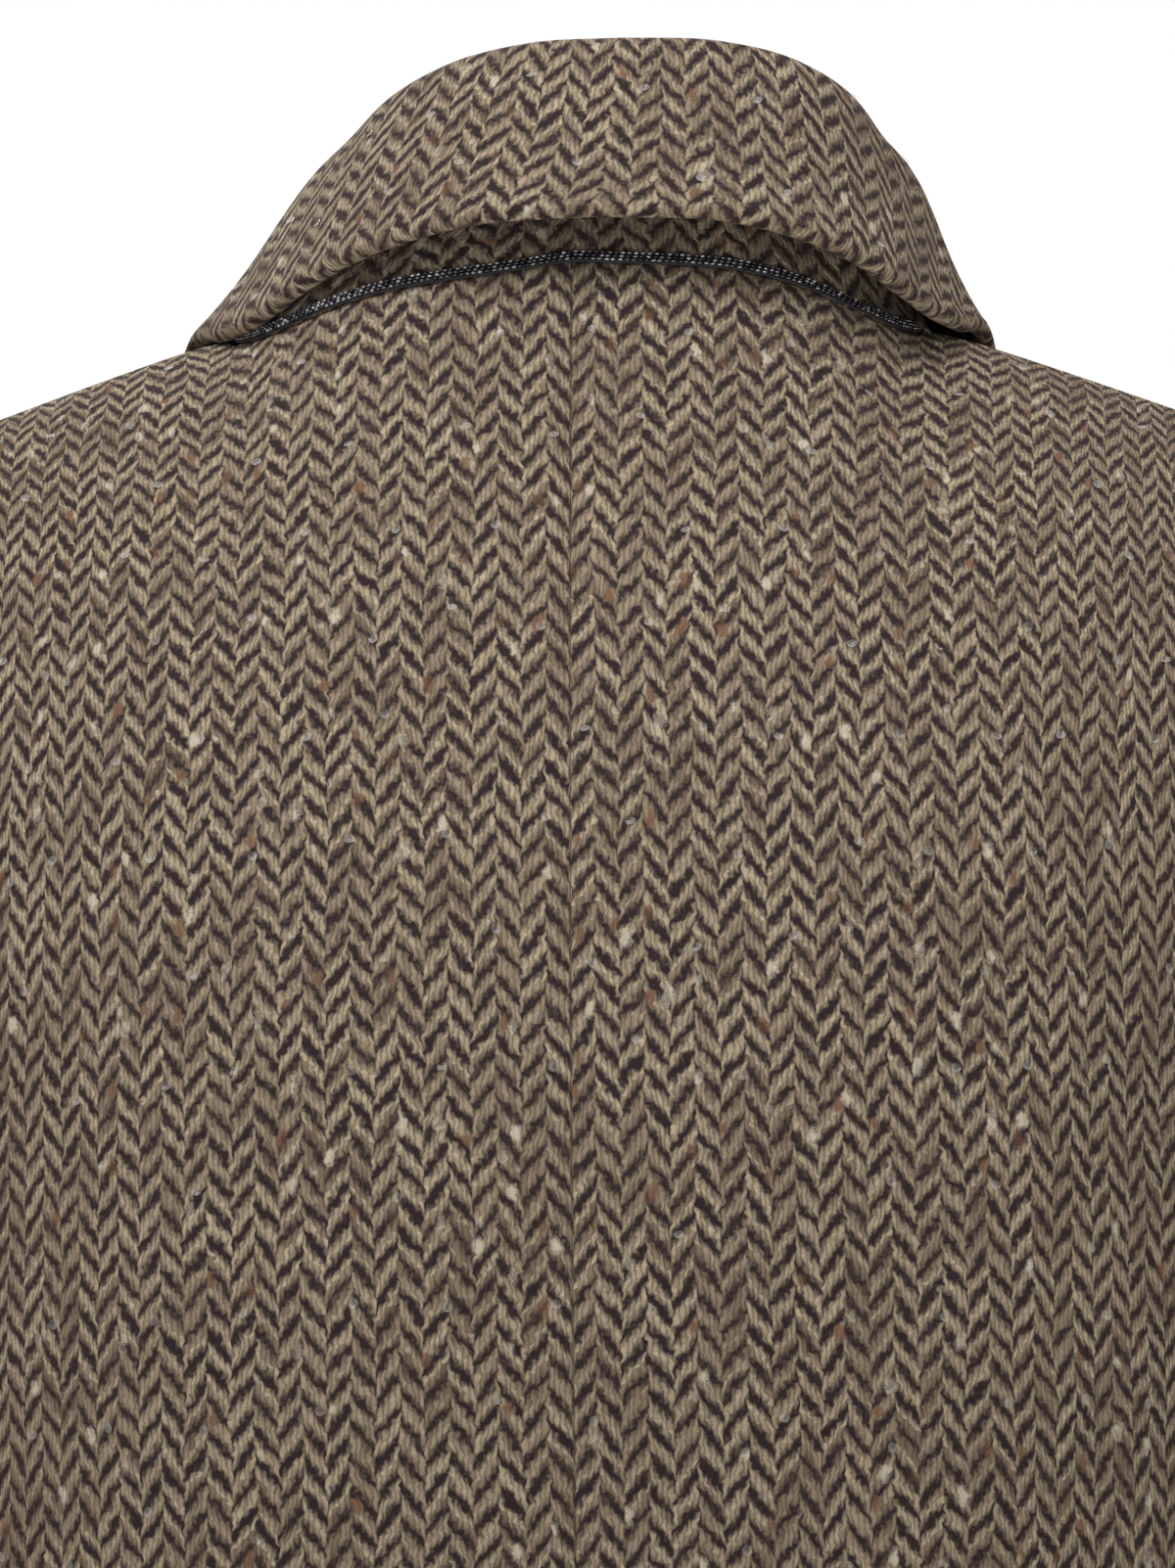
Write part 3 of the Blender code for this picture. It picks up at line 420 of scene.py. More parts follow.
def seam_dip(skin, edges):
    """How deep a cloth dips to its seams: its first and last row (0, 1) and column (2, 3)."""
    across, along = arc_along(skin, 1), arc_along(skin, 0)
    gaps = (along, along[-1:] - along, across, across[:, -1:] - across)
    return SEAM_SINK * np.max([np.exp(-((gaps[e] / SEAM_WIDTH) ** 2)) for e in edges], axis=0)


def mesh_object(name, spots, faces, material):
    """A smooth mesh in one material, as an object of the scene."""
    mesh = bpy.data.meshes.new(name)
    mesh.from_pydata(spots, [], faces)
    mesh.materials.append(material)
    mesh.shade_smooth()
    piece = bpy.data.objects.new(name, mesh)
    bpy.context.scene.collection.objects.link(piece)
    return piece


def cloth_object(name, skin, grain, depths, outward, side, bulges, seams=()):
    """One cut piece of cloth: the wall between two depths off a grid of points, its rim rounded
    by a bulge (in mm) at its first and last row and its first and last column (0 to 3). It dips
    a little to the edges that are seams."""
    rows, cols = skin.shape[:2]
    away = grid_normals(skin, outward)
    dip = seam_dip(skin, seams) if seams else 0.0
    inner, outer = (np.broadcast_to(d - dip, (rows, cols))[..., None] for d in depths)
    mirror = np.array((side, 1, 1))
    top, under = (skin + outer * away) * mirror, (skin + inner * away) * mirror
    last_row, last_col = rows - 1, cols - 1
    loop = [(0, c) for c in range(last_col)] + [(r, last_col) for r in range(last_row)]
    loop += [(last_row, c) for c in range(last_col, 0, -1)]
    loop += [(r, 0) for r in range(last_row, 0, -1)]
    points_made = [*top.reshape(-1, 3), *under.reshape(-1, 3)]
    grains = [*grain.reshape(-1, 2), *grain.reshape(-1, 2)]
    rim, turned_under = [], {}
    for r, c in loop:
        edges = (r == 0, r == last_row, c == 0, c == last_col)
        sides = [s for s, on in enumerate(edges) if on]
        out, shift, bulge = np.zeros(3), np.zeros(2), 0.0
        for s in sides:
            dr, dc = ((1, 0), (-1, 0), (0, 1), (0, -1))[s]
            step = (skin[r, c] - skin[r + dr, c + dc]) * mirror
            length = max(np.linalg.norm(step), 1e-6)
            out = out + step / length
            shift = shift + (grain[r, c] - grain[r + dr, c + dc]) / length
            bulge += bulges[s] * MM / len(sides)
        out = out / max(np.linalg.norm(out), 1e-6)
        middle, half = (top[r, c] + under[r, c]) / 2, (top[r, c] - under[r, c]) / 2
        first = len(points_made)
        arc = math.pi * (np.linalg.norm(half) + bulge) / 2
        for k in range(1, RIM_STEPS):
            turn = math.pi * k / RIM_STEPS
            points_made.append(middle + half * math.cos(turn) + out * bulge * math.sin(turn))
            grains.append(grain[r, c] + shift * arc * k / RIM_STEPS)
        start, finish = r * cols + c, rows * cols + r * cols + c
        turned_under[finish] = grain[r, c] + shift * arc
        rim.append([start, *range(first, first + RIM_STEPS - 1), finish])
    cell = np.arange(rows * cols).reshape(rows, cols)
    quads = (cell[:-1, :-1], cell[:-1, 1:], cell[1:, 1:], cell[1:, :-1])
    quads = np.stack(quads, axis=-1).reshape(-1, 4)
    faces = [*quads.tolist(), *(quads[:, ::-1] + rows * cols).tolist()]
    first_rim = len(faces)
    for here, there in zip(rim, rim[1:] + rim[:1]):
        for k in range(RIM_STEPS):
            faces.append((here[k], here[k + 1], there[k + 1], there[k]))
    piece = mesh_object(name, points_made, faces, tweed)
    shaped = bmesh.new()
    shaped.from_mesh(piece.data)
    flat = shaped.loops.layers.uv.new("UVMap")
    for face in shaped.faces:
        round_edge = face.index >= first_rim
        for corner in face.loops:
            spot = corner.vert.index
            under_edge = round_edge and spot in turned_under
            corner[flat].uv = turned_under[spot] if under_edge else grains[spot]
    bmesh.ops.recalc_face_normals(shaped, faces=shaped.faces)
    shaped.to_mesh(piece.data)
    shaped.free()
    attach(piece, "root")
    return piece


def stations(*parts):
    """Shares along a piece, from (start, count) pairs and an end: even within each part."""
    starts, end = [p[0] for p in parts[:-1]], parts[-1]
    spans = zip(starts, [*starts[1:], end], (p[1] for p in parts[:-1]))
    spans = [np.linspace(start, stop, count) for start, stop, count in spans]
    return np.concatenate([spans[0], *(span[1:] for span in spans[1:])])


def sewn(name, skin, grain, depths, outward, side, bulges, seams=(), sequins=True):
    """Makes a cut piece of cloth, stands it in for its solid and keeps it for sequins if asked."""
    piece = cloth_object(name, skin, grain, depths, outward, side, bulges, seams)
    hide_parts(name.replace("_cloth", ""))
    if sequins:
        sewn_cloths.append((piece, skin, grain, side, outward))


def arc_along(skin, axis):
    """Distance along each row or column of a grid, from its first point."""
    steps = np.linalg.norm(np.diff(skin, axis=axis), axis=-1)
    run = np.cumsum(steps, axis=axis)
    start = np.zeros_like(np.take(run, [0], axis=axis))
    return np.concatenate((start, run), axis=axis)


def straight_grain(skin):
    """Grain of a panel whose stripes hang straight: across by its width at the blades, and up
    by the length of each upright line."""
    low = np.argmin(np.abs(skin[:, :, 2].mean(axis=1) - BLADE_Z))
    xs = np.abs(skin[low, :, 0])
    order = np.argsort(xs)
    width = arc_along(skin[low][order][None], 1)[0]
    width = width + xs[order][0]
    across = np.interp(np.abs(skin[..., 0]), xs[order], width)
    spare = np.maximum(np.abs(skin[..., 0]) - xs[order][-1], 0)
    up = arc_along(skin, 0)
    up = up - up[low]
    return np.stack((across + spare, up), axis=-1)


def from_edges(skin):
    """How far each grid point lies from the nearest edge of its piece."""
    across, along = arc_along(skin, 1), arc_along(skin, 0)
    gaps = (across, across[:, -1:] - across, along, along[-1:] - along)
    return np.min(np.stack([g + 0 * skin[..., 0] for g in gaps]), axis=0)


FOLD_BOW = 0.12  # how far a fold bends aside, as a share of its length
FOLD_FADE = 1.25  # above 1, a fold is whole for longer before it fades at its ends
HOLLOW_AWAY, HOLLOW_WIDE, HOLLOW_DEEP = 1.7, 1.3, 0.45  # beside a fold, as shares of it
EDGE_CALM = 16 * MM  # a fold dies out this far from a piece's edge


def creased(skin, outward, across, high, folds):
    """Soft folds pressed into a piece by wear. Each runs from one place to another (in mm), has
    its own width and height, fades at both ends and leaves the seams where they are."""
    away = grid_normals(skin, outward)
    lift = np.zeros(skin.shape[:2])
    for x0, z0, x1, z1, width, depth in folds:
        start, way = np.array((x0, z0)) * MM, np.array((x1 - x0, z1 - z0)) * MM
        length = np.hypot(*way)
        way = way / length
        from_start = np.stack((across - start[0], high - start[1]), axis=-1)
        along = from_start @ way
        aside = from_start @ np.array((-way[1], way[0]))
        aside = aside + FOLD_BOW * length * np.sin(math.pi * along / length)
        reach = ease(FOLD_FADE - np.abs(2 * along / length - 1))
        swell = np.exp(-((aside / (width * MM)) ** 2))
        aside = aside + HOLLOW_AWAY * width * MM
        hollow = np.exp(-((aside / (HOLLOW_WIDE * width * MM)) ** 2))
        lift += depth * MM * reach * (swell - HOLLOW_DEEP * hollow)
    lift *= ease(from_edges(skin) / EDGE_CALM)
    return skin + lift[..., None] * away


sewn_cloths = []

# Folds of each back, as seen from its own side: start, end, width and height in mm.
BACK_FOLDS = {
    "left": (
        (138, -170, 112, -330, 13, 1.7),
        (92, -255, 74, -420, 17, 1.1),
        (128, -395, 62, -432, 9, 1.5),
        (120, -440, 48, -448, 11, 1.2),
        (60, -505, 74, -672, 20, 1.6),
        (112, -520, 128, -668, 16, 1.9),
    ),
    "right": (
        (134, -185, 104, -352, 15, 2.1),
        (84, -270, 80, -398, 15, 1.0),
        (122, -402, 70, -424, 8, 1.3),
        (126, -432, 58, -462, 12, 1.5),
        (52, -520, 66, -670, 17, 1.4),
        (104, -505, 124, -672, 19, 2.1),
    ),
}
BACK_STEP = 1.1 * MM  # the stripes meet this much out of step at the centre seam
BACK_VALLEY = 0.36 * MM  # how far the cloth stops short of the centre back, where it turns in
back_u = np.linspace(BACK_VALLEY / SHOULDER_HALF, 1, 54)
back_v = stations((0, 40), (LOWER_SHARE, 62), 1)
for side, word in SIDES:
    u, v = np.meshgrid(back_u, back_v)
    skin = back_surface(NECK_SAG[word])(u, v)
    skin = creased(skin, -1, skin[..., 0], skin[..., 2], BACK_FOLDS[word])
    grain = straight_grain(skin)
    grain[..., 0] *= side
    grain[..., 1] += BACK_STEP * (side < 0)
    bulges = (1.1, 0.4, 0.54, 0.7)
    sewn(f"back_cloth_{word}", skin, grain, (-CLOTH, 0), -1, side, bulges, (1, 2, 3))

# ------------------------------------------------------------------------------ side bodies
# A narrow panel under each arm, from the back seam to the front seam. It is the same tweed,
# cut on the straight grain and sewn along both edges.
ARMHOLE_DIP = 12 * MM  # the armhole's lowest point, below the side seams' tops
SIDE_GRID = (26, 60)  # columns and rows
SIDE_VALLEY = 0.005  # share of its width by which a side body stops short of each seam


def side_surface(u, v):
    """A side body, round from its back seam to its front seam."""
    dip = ARMPIT_Z - ARMHOLE_DIP * np.sin(math.pi * u)
    z = HEM_Z + v * (dip - HEM_Z)
    half = body("half_width", z)
    start = np.arccos((SIDE_SHARE + EDGE_MARGIN / half) ** (SQUARENESS / 2))
    angle = start * (1 - 2 * u)
    share = 2 / SQUARENESS
    x = half * np.cos(angle) ** share
    swing = np.abs(np.sin(angle)) ** share
    depth = np.where(angle > 0, body("back", z), -body("front", z))
    full = np.where(angle > 0, fullness(x, z, "back"), fullness(x, z, "front"))
    return points(x, depth * swing * full, z)


EASING = 0.3  # share of the pull on a point that each round gives way to


def relaxed(flat, skin, rounds=500):
    """Eases a flattened grid until its edges and diagonals have their length in the cloth."""
    whole, lower, higher = slice(None), slice(None, -1), slice(1, None)
    pairs = (
        ((whole, lower), (whole, higher)),
        ((lower, whole), (higher, whole)),
        ((lower, lower), (higher, higher)),
        ((lower, higher), (higher, lower)),
    )
    lengths = [np.linalg.norm(skin[b] - skin[a], axis=-1) for a, b in pairs]
    flat = flat.copy()
    for _ in range(rounds):
        move = np.zeros_like(flat)
        for (a, b), length in zip(pairs, lengths):
            apart = flat[b] - flat[a]
            now = np.linalg.norm(apart, axis=-1)
            pull = apart * (0.5 * (now - length) / np.maximum(now, 1e-9))[..., None]
            move[a] += pull
            move[b] -= pull
        flat += EASING * move
    return flat


for side, word in SIDES:
    side_u = np.linspace(SIDE_VALLEY, 1 - SIDE_VALLEY, SIDE_GRID[0])
    u, v = np.meshgrid(side_u, np.linspace(0, 1, SIDE_GRID[1]))
    skin = side_surface(u, v)
    grain = np.stack((arc_along(skin, 1), arc_along(skin, 0)), axis=-1)
    grain[..., 0] = grain[0, :, 0]
    grain = relaxed(grain, skin)
    bulges = (1.1, 0.6, 0.7, 0.7)
    sewn(f"side_cloth_{word}", skin, grain, (-CLOTH, 0), -1, side, bulges, (1, 2, 3))

# ------------------------------------------------------------------------------ fronts
# The two fronts cross over each other below the lapels, the right one on top. Their front
# edges are turned in, so they are round and a little thick.
WRAP = 75 * MM  # each front runs this far past the centre
BREAK_Z = -340 * MM  # where the lapel's roll line meets the front edge
LIFTS = {"left": 0.0, "right": 6.2 * MM}  # the right front rides over the left, out to out
OVERLAP_START = 145 * MM  # towards the side, where the lift begins
OVERLAP_FULL = 92 * MM  # and nearer the centre than this it is full
OVERLAP_TOP = -165 * MM  # the lift is full up to here, and fades out by the gorge
OVERLAP_FADE = 70 * MM
SHOULDER_COLUMNS = 0.5  # share of a front's columns that end on the shoulder seam
FRONT_EDGE_GAP = 0.35 * MM


def front_y(x, z, lift=0.0):
    over = lift * (1 - ease((x - OVERLAP_FULL) / (OVERLAP_START - OVERLAP_FULL)))
    over = over * (1 - ease((z - OVERLAP_TOP) / OVERLAP_FADE))
    return -section(x, z, "front") * fullness(x, z, "front") - over


GORGE_START = neck_seam(np.array(1.0))  # where neck seam, roll line and gorge meet


def roll_line_x(z):
    """The lapel's roll line on the chest, from the front edge up to the gorge."""
    climb = (z - BREAK_Z) / (GORGE_START[2] - BREAK_Z)
    return -WRAP + climb * (GORGE_START[0] + WRAP)


def front_top(u):
    """The front's top edge on the chest: the shoulder seam, then the neck seam."""
    out = np.clip(u / SHOULDER_COLUMNS, 0, 1)
    x_shoulder = SHOULDER_HALF - EDGE_MARGIN + out * (NECK_HALF - SHOULDER_HALF)
    past = run_past(u, SHOULDER_COLUMNS)
    neck = neck_seam(SHOULDER_STATION + past * (1 - SHOULDER_STATION))
    x = np.where(u < SHOULDER_COLUMNS, x_shoulder, neck[..., 0])
    return x, np.where(u < SHOULDER_COLUMNS, ridge(x) - SEAM_HIDE, neck[..., 2] - SEAM_HIDE)


def front_chart(u, v):
    """Where a front's points lie as seen from the front: across and height."""
    low_z = lower_height(v)
    inner_low = np.where(low_z < BREAK_Z, -WRAP, roll_line_x(low_z)) + FRONT_EDGE_GAP
    outer = outer_edge_x(v, "front")
    low_x = outer + u * (inner_low - outer)

    rise = run_past(v, LOWER_SHARE)
    roll_z = ARMPIT_Z + rise * (GORGE_START[2] - ARMPIT_Z)
    roll_x = roll_line_x(roll_z) + FRONT_EDGE_GAP
    arm_z = ARMPIT_Z + rise * (ridge(np.array(SHOULDER_HALF)) - ARMPIT_Z)
    top_x, top_z = front_top(u)
    tip_x, tip_z = front_top(np.zeros_like(u))
    end_x, end_z = front_top(np.ones_like(u))
    base_edge = outer_edge_x(np.full_like(v, LOWER_SHARE), "front")
    base_roll = roll_line_x(np.full_like(v, ARMPIT_Z)) + FRONT_EDGE_GAP
    base_x = base_edge + u * (base_roll - base_edge)
    up_x = (1 - u) * outer + u * roll_x + (1 - rise) * base_x + rise * top_x
    up_x -= (1 - rise) * base_x + rise * ((1 - u) * tip_x + u * (end_x + FRONT_EDGE_GAP))
    up_z = (1 - u) * arm_z + u * roll_z + rise * top_z
    up_z -= rise * ((1 - u) * tip_z + u * end_z)
    below = v < LOWER_SHARE
    return np.where(below, low_x, up_x), np.where(below, low_z, up_z)


def front_surface(lift):
    def surface(u, v):
        x, z = front_chart(u, v)
        return points(x, front_y(x, z, lift), z)

    return surface


front_u = stations((0, 30), (SHOULDER_COLUMNS, 34), 1)
break_v = LOWER_SHARE * (BREAK_Z - HEM_Z) / (ARMPIT_Z - HEM_Z)
front_v = stations((0, 34), (break_v, 14), (LOWER_SHARE, 44), 1)
# Folds of each front: the pull of the closing buttons, and soft drapes from the armhole.
FRONT_FOLDS = {
    "left": (
        (142, -168, 118, -300, 12, 2.5),
        (150, -352, 84, -372, 10, 2.1),
        (146, -398, 80, -404, 9, 1.5),
        (112, -500, 120, -668, 19, 2.4),
        (146, -470, 152, -640, 15, 2.0),
    ),
    "right": (
        (138, -176, 110, -312, 14, 2.1),
        (152, -344, 78, -364, 9, 2.4),
        (148, -384, 76, -388, 11, 1.7),
        (150, -436, 82, -460, 10, 1.5),
        (104, -510, 116, -670, 17, 2.7),
        (22, -520, 18, -668, 18, 1.3),
    ),
}
for side, word in SIDES:
    u, v = np.meshgrid(front_u, front_v)
    skin = front_surface(LIFTS[word])(u, v)
    skin = creased(skin, -1, skin[..., 0], skin[..., 2], FRONT_FOLDS[word])
    grain = relaxed(np.stack((skin[..., 0], arc_along(skin, 0)), axis=-1), skin)
    bulges = (1.1, 0.4, 0.7, 1.1)
    sewn(f"front_cloth_{word}", skin, grain, (-CLOTH, 0), -1, side, bulges, (1, 2))

# ------------------------------------------------------------------------------ collar
# A folded two-layer collar. The top collar's cloth wraps round the free edge, and the under
# collar is sewn a little inside it, so the edge is thick and round.
LAYERS = 2 * CLOTH + GAP  # thickness of two cloths, one on the other

# The collar's fold and outer edge, from the centre back (0) to the end at the gorge (1).
# The edge's height is where it hangs free; it stops LEAF_CLEAR above the cloth below it.
COLLAR = table(
    "station fold_x fold_y fold_z edge_x edge_y edge_z",
    (0.00, 0, 43, 62, 0, 79, 12),
    (0.15, 25, 40, 62, 33, 75, 11),
    (0.30, 46, 31, 59, 62, 60, 5.5),
    (0.45, 62, 14, 51, 86, 33, -4),
    (0.58, 69, -8, 36, 101, -2, -4),
    (0.72, 71, -32, 18, 106, -32, -24),
    (0.86, 62, -53, -14, 107, -53, -52),
    (1.00, 54, -71, -57, 111, -70, -80),
)
LEAF_CLEAR = 1.2 * MM
COLLAR_LEAN = 12.5 * MM  # the fold leans this far to the wearer's right
LEAF_LEAN = 5.5 * MM  # and so does the leaf's edge behind the shoulders
FOLD_TOP = 62 * MM
COLLAR_NOTCH = (96.5 * MM, -83.5 * MM)  # on the chest, where the collar's end leaves the gorge

STAND_SHARE = 0.46  # share of a collar section that is stand
FOLD_PULL = 0.68  # how wide the fold rolls
COLLAR_NOTCH_SHARE = 0.72  # share of the leaf's end that is gorge
NOTCH_REACH = 0.84  # station from which the leaf bends towards the notch


def height_over(x, y):
    """Height of the upper body's cloth at a place in plan, back or front."""
    return np.where(y > 0, height_at(x, y, "back"), height_at(x, y, "front"))


def collar_guides(station, half):
    """Neck seam, fold and outer edge at a station, with the sag of the half it is for."""
    fold, (x, y, z) = (
        [smooth(station, COLLAR["station"], COLLAR[f"{line}_{axis}"] * MM) for axis in "xyz"]
        for line in ("fold", "edge")
    )
    edge = points(x, y, np.maximum(z, height_over(x, y) + LEAF_CLEAR))
    sag = np.where(half < 0, NECK_SAG["right"], NECK_SAG["left"])
    return neck_seam(station, sag), points(*fold), edge


def hermite(start, end, leaving, arriving, t):
    """A curve between two points with the given leaving and arriving directions."""
    return (
        (2 * t**3 - 3 * t**2 + 1) * start
        + (t**3 - 2 * t**2 + t) * leaving
        + (3 * t**2 - 2 * t**3) * end
        + (t**3 - t**2) * arriving
    )


def collar_strip(u, station, half):
    """A collar section, up the stand and down the leaf, as it lies on the left half."""
    seam, fold, edge = collar_guides(station, half)
    rising, falling = fold - seam, edge - fold
    over = unit(unit(rising) + unit(falling))
    seam = seam + unit(rising) * GAP
    stand_length = np.linalg.norm(rising, axis=-1, keepdims=True)
    leaf_length = np.linalg.norm(falling, axis=-1, keepdims=True)
    t_stand = np.clip(u / STAND_SHARE, 0, 1)[..., None]
    t_leaf = run_past(u, STAND_SHARE)[..., None]
    stand = hermite(seam, fold, rising, over * stand_length * FOLD_PULL, t_stand)
    leaf = hermite(fold, edge, over * leaf_length * FOLD_PULL, falling, t_leaf)
    return np.where((u < STAND_SHARE)[..., None], stand, leaf)


def collar_surface(u, v):
    """The under collar's inner skin, from end to end (v) and from seam to edge (u)."""
    half = 2 * v - 1
    station, t_leaf = np.abs(half), run_past(u, STAND_SHARE)
    skin = to_notch(collar_strip(u, station, half), t_leaf, station)
    return leaning(mirrored(skin, half), t_leaf, station)


def to_notch(skin, t_leaf, station):
    """Near the gorge the leaf slides down the front, so that its end follows the notch."""
    notch_u = STAND_SHARE + (1 - STAND_SHARE) * COLLAR_NOTCH_SHARE
    straight = collar_strip(np.array(notch_u), np.array(1.0), np.array(1.0))
    share = np.interp(t_leaf, (0, COLLAR_NOTCH_SHARE, 1), (0, 1, 0))
    share = share * ease((station - NOTCH_REACH) / (1 - NOTCH_REACH))
    x, z = skin[..., 0], skin[..., 2]
    new_x = x + share * (COLLAR_NOTCH[0] - straight[0])
    new_z = z + share * (COLLAR_NOTCH[1] - straight[2])
    return skin + points(new_x - x, front_y(new_x, new_z) - front_y(x, z), new_z - z)


def mirrored(skin, half):
    """The left half's points, moved to the right half where half is negative."""
    return skin * np.stack((np.where(half < 0, -1, 1), 1 + 0 * half, 1 + 0 * half), axis=-1)


def leaning(skin, t_leaf, station):
    """The soft collar leans to the right, most at its fold."""
    fold_share = np.clip(skin[..., 2] / FOLD_TOP, 0, 1)
    edge_share = t_leaf * (1 - ease(station / SHOULDER_STATION - 0.5))
    shift = COLLAR_LEAN * fold_share + LEAF_LEAN * edge_share
    return skin - points(shift, 0 * shift, 0 * shift)


def unrolled_grain(skin, middle):
    """Grain of a bent strip laid flat, from its middle column: each column is a straight line
    that turns by as much as the strip is longer on one edge than on the other."""
    up = arc_along(skin, 0)
    steps = np.linalg.norm(np.diff(skin, axis=1), axis=-1)
    flat = np.zeros((*skin.shape[:2], 2))
    for way in (1, -1):
        place, lean = np.zeros(2), 0.0
        col = middle
        flat[:, col] = np.stack((0 * up[:, col], up[:, col]), axis=-1)
        while 0 <= col + way < skin.shape[1]:
            step = steps[:, min(col, col + way)]
            slope = np.polyfit(up[:, col], step, 1)
            run, turn = slope[1], slope[0]
            place = place + run * np.array((math.cos(lean), -math.sin(lean)))
            lean = lean + turn
            col += way
            level = up[:, col]
            line = place + level[:, None] * np.array((math.sin(lean), math.cos(lean)))
            flat[:, col] = line * np.array((way, 1))
    return relaxed(flat, skin, 900)


WRAP_UNDER = 9 * MM  # the top collar's turning, on the under side
WRAP_FLAT = 0.4  # share of the turning, from the edge, that is at its full depth
UNDER_START = 0.9  # share of the turning that the under collar stops short of
COLLAR_END = 0.992  # station at which the cloths end, just short of the gorge
collar_stations = stations((0, 76), (SHOULDER_STATION, 60), COLLAR_END)
collar_v = (1 + np.concatenate((-collar_stations[:0:-1], collar_stations))) / 2
collar_u = stations((0, 22), (STAND_SHARE, 34), 1)
u, v = np.meshgrid(collar_v, collar_u)
skin = collar_surface(v, u)
grain = unrolled_grain(skin, len(collar_v) // 2)
to_edge = arc_along(skin[::-1], 0)[::-1]
inner = (CLOTH + GAP) * ease(run_past(to_edge / WRAP_UNDER, WRAP_FLAT))
bulges = (0.5, 2.3, 1.2, 1.2)
sewn("collar_top_cloth", skin, grain, (inner, LAYERS), 1, 1, bulges)

under_rows = to_edge[:, len(collar_v) // 2] > UNDER_START * WRAP_UNDER
skin, grain = skin[under_rows], grain[under_rows]
bulges = (0.3, 0.9, 0.6, 0.6)
sewn("collar_under_cloth", skin, grain, (0, CLOTH), 1, 1, bulges, sequins=False)

# ------------------------------------------------------------------------------ neck trim
# A black tape sewn along the back neck seam, with three staggered rows of small gun-metal
# beads threaded on it. It runs under the leaf at both ends.
TRIM_HEIGHT = 4.4 * MM
TRIM_OFF = 0.1 * MM
TRIM_END = 0.47  # collar station at which it ends
TRIM_TAPE = 0.5 * MM  # thickness of the tape
BEAD_ROWS = 3
ROW_START, ROW_END = 0.45, 0.1  # free at the trim's lower and upper edge, in rows
BEAD_PITCH = 1.7 * MM
BEAD_SIZE = (0.8 * MM, 0.52 * MM, 0.55 * MM)  # half sizes: along, up, out
BEAD_SEAT = 0.8  # how high a bead's middle sits, as a share of its half size
BEAD_WANDER = 0.12  # of the pitch
BEAD_TILT = 0.08


def trim_surface(u, v):
    """The beaded trim's back, along the neck seam from end to end."""
    half = (2 * v - 1) * TRIM_END
    seam, fold, _ = collar_guides(np.abs(half), half)
    up = unit(fold - seam)
    skin = seam + up * (TRIM_OFF + TRIM_HEIGHT * u)[..., None]
    return leaning(mirrored(skin, half), 0 * half, np.abs(half))


def plain_material(name, colour, roughness, **sockets):
    """A plain finish: one colour, with its other sockets set straight on the shader."""
    material = bpy.data.materials.new(name)
    material.use_nodes = True
    shader = material.node_tree.nodes["Principled BSDF"]
    shader.inputs["Base Color"].default_value = srgb(colour)
    shader.inputs["Roughness"].default_value = roughness
    for socket, value in sockets.items():
        shader.inputs[socket.replace("_", " ")].default_value = value
    return material


def gunmetal_beads():
    """Dark plated glass beads, glossy, each a little different in tone and shine."""
    material = plain_material("gunmetal_beads", "#3A3A3C", 0.22, Metallic=0.9)
    tree = material.node_tree
    shader = tree.nodes["Principled BSDF"]
    lot = add_node(tree, "Attribute", (), 2, attribute_name="lot")
    tone = {0: lot, 6: srgb("#343437"), 7: srgb("#A19FA3")}
    tone = add_node(tree, "Mix", tone, 2, data_type="RGBA")
    tree.links.new(tone, shader.inputs["Base Color"])
    return material


def copied(name, model, places, material, lots=None):
    """One mesh of many copies of a small modelled piece, each at its own 4 x 4 place."""
    count = len(model.vertices)
    local = np.array([(*v.co, 1.0) for v in model.vertices])
    spots = np.concatenate([local @ place.T for place in places])[:, :3]
    shape = [tuple(f.vertices) for f in model.polygons]
    faces = [tuple(i + n * count for i in f) for n in range(len(places)) for f in shape]
    piece = mesh_object(name, spots.tolist(), faces, material)
    if lots is not None:
        tones = piece.data.attributes.new("lot", "FLOAT", "POINT")
        tones.data.foreach_set("value", np.repeat(lots, count))
    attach(piece, "root")
    return piece


def along_line(spots, run, line):
    """Points read along a line of points, at given runs."""
    return np.stack([np.interp(spots, run, line[:, i]) for i in range(3)], axis=-1)


def frame_at(place, across, up, out, sizes=(1, 1, 1)):
    """A 4 x 4 place from a point and three directions."""
    matrix = np.eye(4)
    for col, (way, size) in enumerate(zip((across, up, out), sizes)):
        matrix[:3, col] = np.asarray(way) * size
    matrix[:3, 3] = place
    return matrix


def model_of(name):
    """Takes the mesh of the object just modelled and removes the object."""
    piece = bpy.context.object
    mesh = piece.data
    mesh.name = name
    bpy.data.objects.remove(piece)
    return mesh


TRIM_WIDE = (-0.2, 0.5)  # the tape's lower and upper edge, as shares of the trim's height
TRIM_GRID = (4, 121)
u, v = np.meshgrid(np.linspace(*TRIM_WIDE, TRIM_GRID[0]), np.linspace(0, 1, TRIM_GRID[1]))
skin = trim_surface(u, v)
grain = np.stack((arc_along(skin, 1), arc_along(skin, 0)), axis=-1)
tape = cloth_object("neck_trim_tape", skin, grain, (0, TRIM_TAPE), 1, 1, (0.1,) * 4)
# Matt cotton tape: all that shows of it is a soft black line between the beads.
tape.data.materials.clear()
tape.data.materials.append(plain_material("black_tape", "#232125", 0.8))

